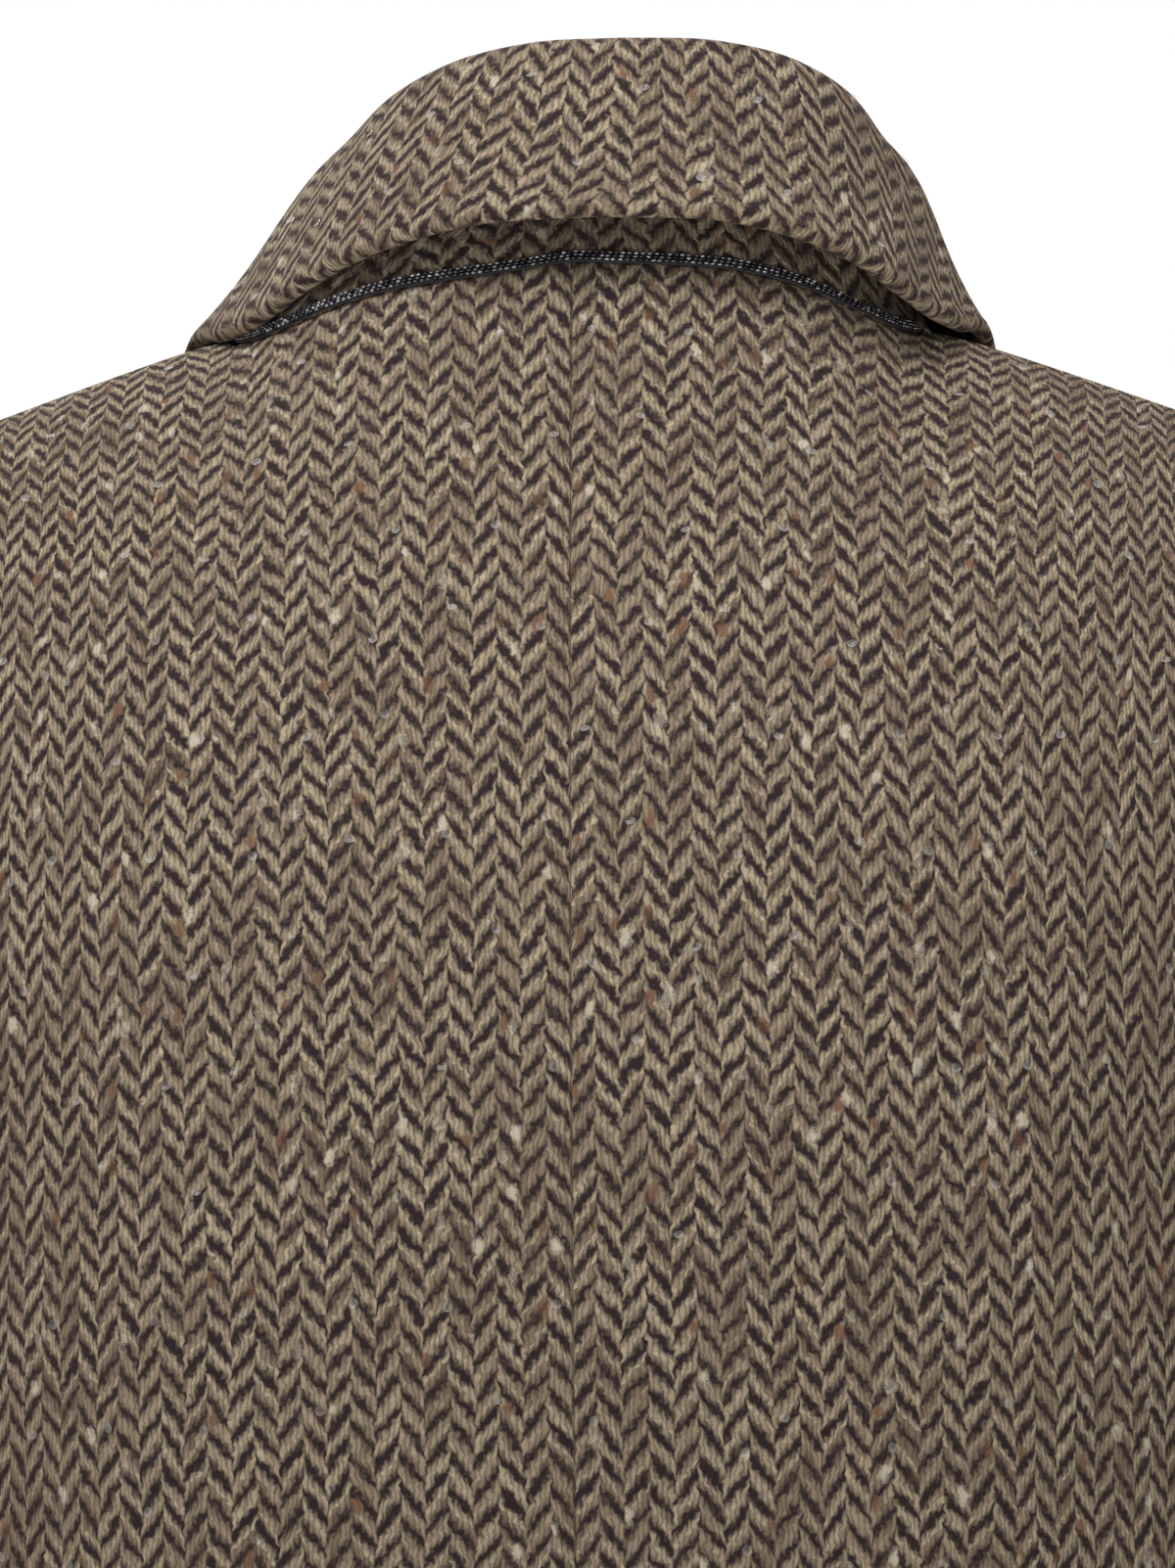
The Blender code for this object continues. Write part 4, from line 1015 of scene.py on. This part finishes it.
bpy.ops.mesh.primitive_uv_sphere_add(segments=8, ring_count=6, radius=1)
bead_model = model_of("bead")
random = np.random.default_rng(7)
away = grid_normals(skin, 1)
bead_places = []
for row in range(BEAD_ROWS):
    share = (row + ROW_START) / (BEAD_ROWS - ROW_END)
    col = share * (skin.shape[1] - 1)
    low, part = int(col), col - int(col)
    line = (1 - part) * skin[:, low] + part * skin[:, low + 1]
    out_line = unit((1 - part) * away[:, low] + part * away[:, low + 1])
    run = arc_along(line[None], 1)[0]
    spots = np.arange(0.5 + 0.5 * (row % 2), run[-1] / BEAD_PITCH, 1.0) * BEAD_PITCH
    spots = spots[(spots > BEAD_SIZE[0]) & (spots < run[-1] - BEAD_SIZE[0])]
    spots = spots + random.uniform(-BEAD_WANDER, BEAD_WANDER, len(spots)) * BEAD_PITCH
    at, out = along_line(spots, run, line), unit(along_line(spots, run, out_line))
    along = unit(along_line(spots + MM, run, line) - along_line(spots - MM, run, line))
    for n in range(len(spots)):
        lean = unit(along[n] + random.normal(0, BEAD_TILT, 3))
        up = np.cross(out[n], lean)
        spot = at[n] + out[n] * (TRIM_TAPE + BEAD_SEAT * BEAD_SIZE[2])
        bead_places.append(frame_at(spot, lean, unit(up), out[n], BEAD_SIZE))
lots = random.uniform(0, 1, len(bead_places)) ** 2
beads = copied("neck_trim_beads", bead_model, bead_places, gunmetal_beads(), lots)
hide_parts("neck_trim")

# ------------------------------------------------------------------------------ lapels
# Peak lapels: the top of each front, faced with the same tweed and turned back on its roll
# line. Two cloths thick with a round edge.
ROLL_RADIUS = 1.7 * MM
LAPEL_CLEAR = 2.0 * MM
# Outline of the lapel's top on the chest: gorge end, then the point of the peak.
NOTCH = (99.5 * MM, -91 * MM)
PEAK = (137 * MM, -56 * MM)
LAPEL_BELLY = (112 * MM, -172 * MM)  # the outer edge bends towards this place

TURN_SHARE = 0.3  # share of a lapel's columns that go round its roll
LAPEL_START = 9 * MM  # above the break, where the lapel has its first width
UNDERLAP = 10 * MM  # the left lapel ends this far from the right one's roll line
GORGE_DROP = 7 * MM  # the roll ends this far below the collar
CURVE_SAMPLES = 400
LAPEL_NOTCH = 0.6  # share of the lapel's top that is gorge
LAPEL_ROWS = 60
TANGENT_STEP = 0.05 * MM
CHART_STEP = 0.002


def on_front(x, z, lift, off):
    """A point of the front, and moved off it along its normal."""
    here = points(x, front_y(x, z, lift), z)
    beside = x + TANGENT_STEP
    below = z - TANGENT_STEP
    across = points(beside, front_y(beside, z, lift), z) - here
    up = points(x, front_y(x, below, lift), below) - here
    normal = unit(np.cross(across, up))
    normal *= -np.sign(normal[..., 1:2])
    return here + normal * np.asarray(off)[..., None], normal


def lapel_outer_edge(t):
    """The lapel's free edge as seen from the front, from the break (0) to the peak (1)."""
    corners = ((-WRAP, BREAK_Z), LAPEL_BELLY, PEAK)
    weights = ((1 - t) ** 2, 2 * t * (1 - t), t**2)
    return [sum(w * corner[i] for w, corner in zip(weights, corners)) for i in range(2)]


def lapel_bottom(word):
    """Where the lapel's lowest row starts: a height on its roll, a share of its free edge."""
    if word == "right":
        return BREAK_Z + LAPEL_START, LAPEL_START / (PEAK[1] - BREAK_Z)
    heights = np.linspace(BREAK_Z, GORGE_START[2], CURVE_SAMPLES)
    at_roll = heights[np.argmin(np.abs(2 * roll_line_x(heights) - UNDERLAP))]
    shares = np.linspace(0, 1, CURVE_SAMPLES)
    edge_x, edge_z = lapel_outer_edge(shares)
    at_edge = shares[np.argmin(np.abs(edge_x + roll_line_x(edge_z) - UNDERLAP))]
    return at_roll, at_edge


def lapel_surface(word, lift):
    """The lapel's inner skin: round the roll, then back over the front."""
    roll_low, edge_low = lapel_bottom(word)
    roll_top = GORGE_START[2] - GORGE_DROP
    gorge = (roll_line_x(roll_top), roll_top)

    def chart(w, v):
        roll_z = roll_low + v * (gorge[1] - roll_low)
        edge_x, edge_z = lapel_outer_edge(edge_low + v * (1 - edge_low))
        roll_x = roll_line_x(roll_z)
        first = np.clip(w / LAPEL_NOTCH, 0, 1)
        second = run_past(w, LAPEL_NOTCH)
        top_x = gorge[0] + first * (NOTCH[0] - gorge[0]) + second * (PEAK[0] - NOTCH[0])
        top_z = gorge[1] + first * (NOTCH[1] - gorge[1]) + second * (PEAK[1] - NOTCH[1])
        straight_x = gorge[0] + w * (PEAK[0] - gorge[0])
        straight_z = gorge[1] + w * (PEAK[1] - gorge[1])
        x = roll_x + w * (edge_x - roll_x) + v * (top_x - straight_x)
        z = roll_z + w * (edge_z - roll_z) + v * (top_z - straight_z)
        return x, z

    def surface(u, v):
        turn = np.clip(u / TURN_SHARE, 0, 1) * math.pi
        w = run_past(u, TURN_SHARE)
        x, z = chart(w, v)
        off = 2 * ROLL_RADIUS + (LAPEL_CLEAR - 2 * ROLL_RADIUS) * ease(w)
        flat, normal = on_front(x, z, lift, off)
        ahead_x, ahead_z = chart(np.clip(w + CHART_STEP, 0, 1), v)
        behind_x, behind_z = chart(np.clip(w - CHART_STEP, 0, 1), v)
        forward = points(ahead_x - behind_x, 0 * x, ahead_z - behind_z)
        opening = -unit(forward - np.sum(forward * normal, -1, keepdims=True) * normal)
        root, _ = on_front(x, z, lift, 0 * x)
        arc = root + normal * (ROLL_RADIUS * (1 - np.cos(turn)))[..., None]
        arc += opening * (ROLL_RADIUS * np.sin(turn))[..., None]
        return np.where((u < TURN_SHARE)[..., None], arc, flat)

    return surface


notch_u = TURN_SHARE + LAPEL_NOTCH * (1 - TURN_SHARE)
lapel_u = stations((0, 14), (TURN_SHARE, 22), (notch_u, 14), 1)
for side, word in SIDES:
    u, v = np.meshgrid(lapel_u, np.linspace(0, 1, LAPEL_ROWS))
    skin = lapel_surface(word, LIFTS[word])(u, v)
    grain = relaxed(np.stack((arc_along(skin, 1), arc_along(skin, 0)), axis=-1), skin)
    bulges = (2.0, 2.0, 0.6, 2.3)
    name, depths = f"lapel_cloth_{word}", (0, LAYERS)
    sewn(name, skin, grain, depths, -1, side, bulges, sequins=False)

# ------------------------------------------------------------------------------ sleeves
# Two-piece sleeves, a top and an under sleeve sewn along two seams and set into the armhole,
# where the head stands a little full.

# The sleeve's sections below its head: middle, half breadths, and how far its plane tips.
SLEEVE = table(
    "height mid_x mid_y half_x half_y tip",
    (-640, 245, -41, 37.0, 45, 0.22),
    (-585, 243, -29, 38.0, 46, 0.21),
    (-510, 239, -14, 39.5, 49, 0.18),
    (-420, 234, -2, 42.0, 54, 0.10),
    (-340, 232, -1, 44.5, 59, 0.03),
    (-262, 230, -3, 46.0, 62, 0.00),
)
UNDER_SLEEVE = (math.radians(118), math.radians(238))  # round from the outer side, by the back
SLEEVE_HEAD_GAP = 0.3 * MM  # sleeve head to armhole edge

HEAD_SHARE = 0.34  # share of a sleeve's rows in its head
HEAD_PULL = 1.15  # how full the head rounds
UNDERARM_AWAY = (0.8, -0.65)  # across and up: how the sleeve leaves the armhole below
SHOULDER_AWAY = (1.0, -0.25)  # and at the shoulder
SIDE_SPREAD = 0.22  # how far it spreads to the back and front there
LOOP_POINTS = 20  # on the armhole's back, and on its front
LOOP_CROWD = 1.6  # above 1, the points stand closer towards the shoulder
UNDERARM_POINTS = 12
BICEPS_STEP = 10 * MM
SLEEVE_VALLEY = 0.002  # share of its width by which each half stops short of its seams
SLEEVE_ROWS = 110
ELBOW_ROW = 60  # the row along which the folds' places are measured


def armhole_loop():
    """The armhole seam as a closed loop: shoulder, back, underarm, front."""
    rise = 1 - (1 - np.linspace(0, 1, LOOP_POINTS)) ** LOOP_CROWD
    v = LOWER_SHARE + (1 - LOWER_SHARE) * rise
    back = back_surface(0.0)(np.ones_like(v), v)[::-1]
    under = side_surface(np.linspace(0, 1, UNDERARM_POINTS + 2)[1:-1], np.ones(UNDERARM_POINTS))
    front = front_surface(0.0)(np.zeros_like(v), v)
    return np.concatenate((back, under, front))


def loop_reader():
    """The armhole loop, read by the angle round the sleeve (0 outer, pi inner)."""
    loop = armhole_loop()
    steps = np.linalg.norm(np.diff(loop, axis=0), axis=1)
    run = np.concatenate(((0,), np.cumsum(steps)))
    lowest = run[np.argmin(loop[:, 2])]
    angles = np.where(run < lowest, math.pi * run / lowest, 0)
    after = math.pi + math.pi * (run - lowest) / (run[-1] - lowest)
    angles = np.where(run < lowest, angles, after)

    return lambda angle: along_line(angle, angles, loop)


def sleeve_ring(angle, z):
    """The sleeve's oval section at height z."""
    heights, *sizes, tips = SLEEVE.values()
    mid_x, mid_y, half_x, half_y = (smooth(z, heights * MM, size * MM) for size in sizes)
    tip = smooth(z, heights * MM, tips)
    swing = half_y * np.sin(angle)
    return points(mid_x + half_x * np.cos(angle), mid_y + swing, z - tip * swing)


def sleeve_surface(first, last):
    """Part of a sleeve, between two angles round it, from the armhole down to the cuff."""
    read_loop = loop_reader()
    cuff_z, biceps_z = SLEEVE["height"][[0, -1]] * MM

    def surface(u, v):
        angle = first + u * (last - first)
        angle = np.mod(angle, 2 * math.pi)
        top = (1 + np.cos(angle)) / 2
        start = read_loop(angle)
        out, up = (low + top * (high - low) for low, high in zip(UNDERARM_AWAY, SHOULDER_AWAY))
        away = unit(points(out, SIDE_SPREAD * np.sin(angle), up))
        start = start + away * SLEEVE_HEAD_GAP
        biceps = sleeve_ring(angle, np.full_like(angle, biceps_z))
        below = sleeve_ring(angle, np.full_like(angle, biceps_z - BICEPS_STEP))
        reach = np.linalg.norm(biceps - start, axis=-1, keepdims=True)
        t = np.clip(v / HEAD_SHARE, 0, 1)[..., None]
        pull = reach * HEAD_PULL
        head = hermite(start, biceps, away * pull, unit(below - biceps) * pull, t)
        down = run_past(v, HEAD_SHARE)
        arm = sleeve_ring(angle, biceps_z + down * (cuff_z - biceps_z))
        return np.where((v < HEAD_SHARE)[..., None], head, arm)

    return surface


# Folds of each sleeve: across from its first seam, and up. The arm bends forward at the elbow.
SLEEVE_FOLDS = {
    "under": {
        "left": (
            (20, -250, 78, -214, 9, 2.7),
            (66, -398, 104, -424, 8, 2.9),
            (58, -452, 98, -440, 7, 2.5),
        ),
        "right": (
            (24, -262, 82, -222, 10, 3.1),
            (60, -404, 102, -418, 8, 2.5),
            (62, -460, 100, -444, 8, 2.9),
        ),
    },
    "top": {
        "left": (
            (8, -392, 66, -418, 8, 3.7),
            (4, -428, 74, -430, 7, 3.2),
            (6, -462, 62, -444, 8, 3.4),
            (150, -300, 190, -392, 13, 2.4),
            (120, -520, 170, -560, 12, 2.0),
            (24, -560, 80, -585, 11, 2.2),
            (196, -176, 170, -258, 10, 2.5),
        ),
        "right": (
            (6, -400, 70, -414, 7, 3.4),
            (5, -436, 66, -436, 8, 3.7),
            (8, -472, 58, -450, 8, 2.9),
            (142, -312, 184, -404, 14, 2.5),
            (128, -534, 176, -566, 11, 2.2),
            (18, -548, 76, -578, 12, 1.9),
            (190, -186, 168, -250, 11, 2.2),
        ),
    },
}
for side, word in SIDES:
    for part_name, first, last, cols in (
        ("under", UNDER_SLEEVE[0], UNDER_SLEEVE[1], 30),
        ("top", UNDER_SLEEVE[1], UNDER_SLEEVE[0] + 2 * math.pi, 60),
    ):
        across = np.linspace(SLEEVE_VALLEY, 1 - SLEEVE_VALLEY, cols)
        u, v = np.meshgrid(across, np.linspace(0, 1, SLEEVE_ROWS))
        skin = sleeve_surface(first, last)(u, v)
        across = np.broadcast_to(arc_along(skin, 1)[ELBOW_ROW], skin.shape[:2])
        skin = creased(skin, -1, across, skin[..., 2], SLEEVE_FOLDS[part_name][word])
        across, down = arc_along(skin, 1), arc_along(skin, 0)
        grain = np.stack((across - across[:, [cols // 2]], down - down[-1:]), axis=-1)
        grain = relaxed(grain, skin, 300)
        name, bulges = f"sleeve_{part_name}_cloth_{word}", (0.9, 1.1, 0.7, 0.7)
        sewn(name, skin, grain, (-CLOTH, 0), -1, side, bulges, (0, 2, 3))

# ------------------------------------------------------------------------------ buttons
# Six dark horn buttons with a raised rim, a dished face and four holes, sewn on with doubled
# thread. The lower four and the upper right one sit on the right front.
BUTTON_RADIUS = 15 * MM
BUTTON_THICK = 4.2 * MM
BUTTON_OFF = 0.5 * MM  # button to cloth
# Each button's side, its distance from the middle and its height in mm, and its panel.
BUTTONS = (
    (1, 100, -273, "left"),
    (-1, 100, -273, "right"),
    (1, 60, -368, "right"),
    (-1, 60, -368, "right"),
    (1, 60, -463, "right"),
    (-1, 60, -463, "right"),
)
BUTTON_HOLE = 1.25 * MM
HOLE_OUT = 3.1 * MM
# The face, from the outside in: each ring's width and how far it then drops, in mm.
BUTTON_RINGS = ((0.5, 0), (1.2, 0.35), (1.6, 0.2), (1.2, -0.75), (1.6, -0.75), (1.4, -0.25))
BUTTON_EDGE = 0.7 * MM
FACING_UP = 0.9  # the least upright part of a face's normal
DRILL_LENGTH = 20 * MM
SMOOTH_BELOW = math.radians(40)
BUTTON_TURN = (17, -50)  # degrees that each button is turned from the last, and the first


def dark_horn():
    """Polished buffalo horn: near black, with soft brown streaks."""
    material = plain_material("dark_horn", "#2A1F18", 0.28)
    tree = material.node_tree
    shader = tree.nodes["Principled BSDF"]
    place = add_node(tree, "TexCoord", (), 3)
    place = add_node(tree, "VectorMath MULTIPLY", (place, (90, 90, 28)))
    streak = {"Vector": place, "Scale": 1.0, "Detail": 5.0, "Distortion": 1.2}
    streak = add_node(tree, "TexNoise", streak)
    share = {"Value": streak, "From Min": 0.42, "From Max": 0.72}
    share = add_node(tree, "MapRange", share)
    tone = {0: share, 6: srgb("#1C1512"), 7: srgb("#5B4230")}
    tone = add_node(tree, "Mix", tone, 2, data_type="RGBA")
    tree.links.new(tone, shader.inputs["Base Color"])
    return material


def spun(across, up, turn):
    """Two directions, turned in their own plane."""
    cos, sin = math.cos(turn), math.sin(turn)
    return across * cos + up * sin, up * cos - across * sin


bpy.ops.mesh.primitive_cylinder_add(vertices=56, radius=BUTTON_RADIUS, depth=BUTTON_THICK)
button = bpy.context.object
bpy.ops.object.mode_set(mode="EDIT")
bpy.ops.mesh.select_mode(type="FACE")
bpy.ops.mesh.select_all(action="DESELECT")
bpy.ops.object.mode_set(mode="OBJECT")
for face in button.data.polygons:
    face.select = face.normal.z > FACING_UP
bpy.ops.object.mode_set(mode="EDIT")
for inset, drop in BUTTON_RINGS:
    bpy.ops.mesh.inset(thickness=inset * MM)
    bpy.ops.transform.translate(value=(0, 0, drop * MM))
bpy.ops.object.mode_set(mode="OBJECT")
rounding = button.modifiers.new("edge", "BEVEL")
rounding.width, rounding.segments, rounding.limit_method = BUTTON_EDGE, 3, "ANGLE"
bpy.ops.object.modifier_apply(modifier="edge")
for turn in (45, 135, 225, 315):
    turn = math.radians(turn)
    spot = (HOLE_OUT * math.cos(turn), HOLE_OUT * math.sin(turn), 0)
    bpy.ops.object.select_all(action="DESELECT")
    bpy.ops.mesh.primitive_cylinder_add(
        vertices=14, radius=BUTTON_HOLE, depth=DRILL_LENGTH, location=spot
    )
    drill = bpy.context.object
    bpy.context.view_layer.objects.active = button
    cut = button.modifiers.new("hole", "BOOLEAN")
    cut.object, cut.operation, cut.solver = drill, "DIFFERENCE", "EXACT"
    bpy.ops.object.modifier_apply(modifier="hole")
    bpy.data.objects.remove(drill)
bpy.context.view_layer.objects.active = button
button_model = model_of("button")

THREAD_RADIUS = 0.42 * MM
THREAD_APART = 0.4 * MM  # from a hole's middle to each of its two threads
THREAD_LEVEL = 0.1 * BUTTON_THICK
THREAD_FLAT = 0.75  # the loops are pressed this flat
bpy.ops.object.select_all(action="DESELECT")
threads = []
reach = HOLE_OUT * math.cos(math.radians(45))
for side, offset in ((-1, -1), (-1, 1), (1, -1), (1, 1)):
    across = side * reach + offset * THREAD_APART
    bpy.ops.mesh.primitive_torus_add(
        major_segments=20,
        minor_segments=6,
        major_radius=reach,
        minor_radius=THREAD_RADIUS,
        location=(0, across, THREAD_LEVEL),
        rotation=(math.radians(90), 0, 0),
    )
    threads.append(bpy.context.object)
bpy.ops.object.select_all(action="DESELECT")
for thread in threads:
    thread.select_set(True)
bpy.context.view_layer.objects.active = threads[0]
bpy.ops.object.join()
bpy.ops.object.transform_apply(location=True, rotation=True, scale=True)
thread_model = model_of("button_thread")
for vertex in thread_model.vertices:
    vertex.co.z = THREAD_LEVEL + (vertex.co.z - THREAD_LEVEL) * THREAD_FLAT

horn = dark_horn()
# Waxed linen thread: dull and nearly as dark as the horn, so only its loops stand out.
thread_yarn = plain_material("waxed_thread", "#241C1B", 0.7)
for number, (side, away, height, panel) in enumerate(BUTTONS, start=1):
    mirror = np.array((-1 if panel == "right" else 1, 1, 1))
    x, z = np.array(side * away * MM * mirror[0]), np.array(height * MM)
    place, normal = on_front(x, z, LIFTS[panel], np.array(BUTTON_OFF + BUTTON_THICK / 2))
    out = normal * mirror
    across = unit(np.cross((0, 0, 1), out))
    turn = math.radians(BUTTON_TURN[0] * number + BUTTON_TURN[1])
    across, up = spun(across, np.cross(out, across), turn)
    spot = [frame_at(place * mirror, across, up, out)]
    disc = copied(f"horn_button_{number}", button_model, spot, horn)
    disc.data.shade_flat()
    bpy.ops.object.select_all(action="DESELECT")
    disc.select_set(True)
    bpy.context.view_layer.objects.active = disc
    bpy.ops.object.shade_smooth_by_angle(angle=SMOOTH_BELOW)
    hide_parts(f"button_{number}")
    copied(f"button_thread_{number}", thread_model, spot, thread_yarn)

# ------------------------------------------------------------------------------ sequins
# Small clear cup sequins, caught down in the gaps of the weave all over the cloth, in uneven
# rows. Each is a thin shallow cup that opens outwards.
SEQUIN_RADIUS = 1.25 * MM
SEQUIN_GRID = (25 * MM, 29 * MM)
SEQUIN_EDGE = ((5 * MM, 4 * MM), (6 * MM, 4 * MM))  # left free across and up, start and end
SEQUIN_WANDER = (2.2, 3.0)  # mm, across and up
SEQUIN_TILT = 0.25
SEQUIN_RISE = 0.15  # they lean a little upwards
SEQUIN_OFF = 0.25 * MM
CUP_EDGE = -0.7  # where the cup is cut from a ball of radius 1
CUP_DEPTH = 1.6  # how far the cup is stretched
OFF_CLOTH = 8 * MM  # a place further than this from any grid point isn't on the piece


def clear_sequin():
    """Thin clear polyester: it shows the cloth behind, and its hollow shines with the clear coat.
    Its whitish body shows more towards the rim, where it is seen edge-on, as painted reflection.
    """
    coat = {"Coat_Weight": 1.0, "Coat_Roughness": 0.06}
    material = plain_material("clear_sequin", "#E9E4DE", 0.12, **coat)
    tree = material.node_tree
    shader = tree.nodes["Principled BSDF"]
    # Layer Weight lets the whitish body show more where the cup is seen edge-on: painted
    # reflection.
    rim = add_node(tree, "LayerWeight", {"Blend": 0.35}, 1)
    painted_rim_reflection = {"Value": rim, "To Min": 0.07, "To Max": 0.6}
    painted_rim_reflection = add_node(tree, "MapRange", painted_rim_reflection)
    tree.links.new(painted_rim_reflection, shader.inputs["Alpha"])
    return material


bpy.ops.mesh.primitive_uv_sphere_add(segments=10, ring_count=10, radius=1)
bpy.ops.object.mode_set(mode="EDIT")
bpy.ops.mesh.select_all(action="DESELECT")
bpy.ops.object.mode_set(mode="OBJECT")
cup = bpy.context.object
for vertex in cup.data.vertices:
    vertex.select = vertex.co.z > CUP_EDGE
bpy.ops.object.mode_set(mode="EDIT")
bpy.ops.mesh.delete(type="VERT")
bpy.ops.object.mode_set(mode="OBJECT")
sequin_model = model_of("sequin")
widest = max(v.co.x for v in sequin_model.vertices)
for vertex in sequin_model.vertices:
    vertex.co = (vertex.co.x / widest, vertex.co.y / widest, (vertex.co.z + 1) * CUP_DEPTH)

random = np.random.default_rng(23)
sequin_places = []
for piece, skin, grain, side, outward in sewn_cloths:
    mirror = np.array((side, 1, 1))
    away = grid_normals(skin, outward)
    depth = LAYERS if piece.name.startswith("collar") else 0.0
    low, high = grain.reshape(-1, 2).min(axis=0), grain.reshape(-1, 2).max(axis=0)
    middle = (grain[:-1, :-1] + grain[1:, 1:]) / 2
    columns, rows = (
        np.arange(low[i] + SEQUIN_EDGE[i][0], high[i] - SEQUIN_EDGE[i][1], SEQUIN_GRID[i])
        for i in (0, 1)
    )
    for row, y in enumerate(rows):
        for x in columns + (row % 2) * SEQUIN_GRID[0] / 2:
            x_here, y_here = (
                start + random.normal(0, wander) * MM
                for start, wander in zip((x, y), SEQUIN_WANDER)
            )
            gap = np.hypot(middle[..., 0] - x_here, middle[..., 1] - y_here)
            r, c = np.unravel_index(np.argmin(gap), gap.shape)
            tilt = random.normal(0, SEQUIN_TILT, 2)
            turn = random.uniform(0, 2 * math.pi)
            inside = 1 <= r <= skin.shape[0] - 3 and 1 <= c <= skin.shape[1] - 3
            if gap[r, c] > OFF_CLOTH or not inside:
                continue
            shares = random.uniform(0, 1, 2)
            spot = skin[r, c] + (skin[r + 1, c] - skin[r, c]) * shares[0]
            spot = spot + (skin[r, c + 1] - skin[r, c]) * shares[1]
            out = away[r, c]
            across = unit(np.cross((0, 0, 1), out))
            up = np.cross(out, across)
            out = unit(out + across * tilt[0] + up * (tilt[1] + SEQUIN_RISE))
            across = unit(np.cross(up, out))
            across, up = spun(across, np.cross(out, across), turn)
            spot = spot + away[r, c] * (depth + SEQUIN_OFF)
            turned = (way * mirror for way in (spot, across, up, out))
            sequin_places.append(frame_at(*turned, (SEQUIN_RADIUS,) * 3))
copied("clear_sequins", sequin_model, sequin_places, clear_sequin())

# ------------------------------------------------------------------------------ stage and camera
# A plain pale floor well below the hem, a white surround, soft light from above and a long lens
# that looks at the upper back from a little below.
PAGE = (1200, 1602)
MM_PER_PIXEL = 0.25
AIM_PIXEL = (588, 264)  # where the neck seam's middle lies in the picture
CAMERA_AWAY = 2.2
FLOOR_Z = -0.86
FLOOR_HALF = 6
CAMERA_ANGLES = (181.5, -11, 0.45)  # degrees round from the front, up, and of roll
AIM_Z = 4 * MM
SURROUND = 0.26  # strength of the light from all round
turn, rise, roll = (math.radians(angle) for angle in CAMERA_ANGLES)
right = Vector((math.cos(turn), math.sin(turn), 0))
level = Vector((math.sin(turn), -math.cos(turn), 0))
towards = level * math.cos(rise) + Vector((0, 0, math.sin(rise)))
above = towards.cross(right)
aim = Vector((0, NECK_BACK, AIM_Z))
aim += right * (PAGE[0] / 2 - AIM_PIXEL[0]) * MM_PER_PIXEL * MM
aim += above * (AIM_PIXEL[1] - PAGE[1] / 2) * MM_PER_PIXEL * MM
lens = bpy.data.cameras.new("camera")
lens.sensor_width = 36
lens.lens = lens.sensor_width * CAMERA_AWAY / (PAGE[1] * MM_PER_PIXEL * MM)
camera = bpy.data.objects.new("camera", lens)
camera.location = aim + towards * CAMERA_AWAY
camera.rotation_mode = "QUATERNION"
upright = (-towards).to_track_quat("-Z", "Y")
camera.rotation_quaternion = Matrix.Rotation(-roll, 4, towards).to_quaternion() @ upright
bpy.context.scene.collection.objects.link(camera)
bpy.context.scene.camera = camera
bpy.context.scene.view_settings.view_transform = "Standard"

# Matt paper: it takes a soft shadow and has no gloss.
paper = plain_material("pale_paper", "#F2F1EF", 0.8)
sides = ((-1, -1), (1, -1), (1, 1), (-1, 1))
corners = [(x * FLOOR_HALF, y * FLOOR_HALF, FLOOR_Z) for x, y in sides]
mesh_object("floor", corners, [(0, 1, 2, 3)], paper)

world = bpy.data.worlds.new("studio")
bpy.context.scene.world = world
world.use_nodes = True
tree = world.node_tree
tree.nodes["Background"].inputs["Color"].default_value = (1, 1, 1, 1)
tree.nodes["Background"].inputs["Strength"].default_value = SURROUND
seen = add_node(tree, "LightPath", (), 0)
page = add_node(tree, "Background", {"Color": (1, 1, 1, 1), "Strength": 1.0})
mixed = add_node(tree, "MixShader", (seen, tree.nodes["Background"].outputs[0], page))
tree.links.new(mixed, tree.nodes["World Output"].inputs["Surface"])

MIDDLE = (0, 0, -0.15)
SKY_LEAN = (math.radians(-8), math.radians(5), 0)
narrow = {"spot_size": math.radians(16), "spot_blend": 1.0, "shadow_soft_size": 0.25}
for name, kind, place, target, power, looks in (
    ("key", "AREA", (0.6, 1.1, 1.4), MIDDLE, 22, {"size": 0.9}),
    ("fill", "AREA", (-1.5, 1.7, 0.3), MIDDLE, 7, {"size": 1.2}),
    ("front", "AREA", (0.9, -1.8, 0.9), MIDDLE, 22, {"size": 1.4}),
    ("sky", "SUN", (0, 0, 0), None, 1.55, {"angle": math.radians(110)}),
    ("under_collar", "SPOT", (0.1, 1.3, -0.75), (0, 0.05, 0.02), 75, narrow),
):
    lamp = bpy.data.lights.new(name, kind)
    lamp.energy = power
    for setting, value in looks.items():
        setattr(lamp, setting, value)
    light = bpy.data.objects.new(name, lamp)
    light.location = place
    if target is None:
        light.rotation_euler = SKY_LEAN
    else:
        aim = light.location - Vector(target)
        light.rotation_euler = aim.to_track_quat("Z", "Y").to_euler()
    bpy.context.scene.collection.objects.link(light)
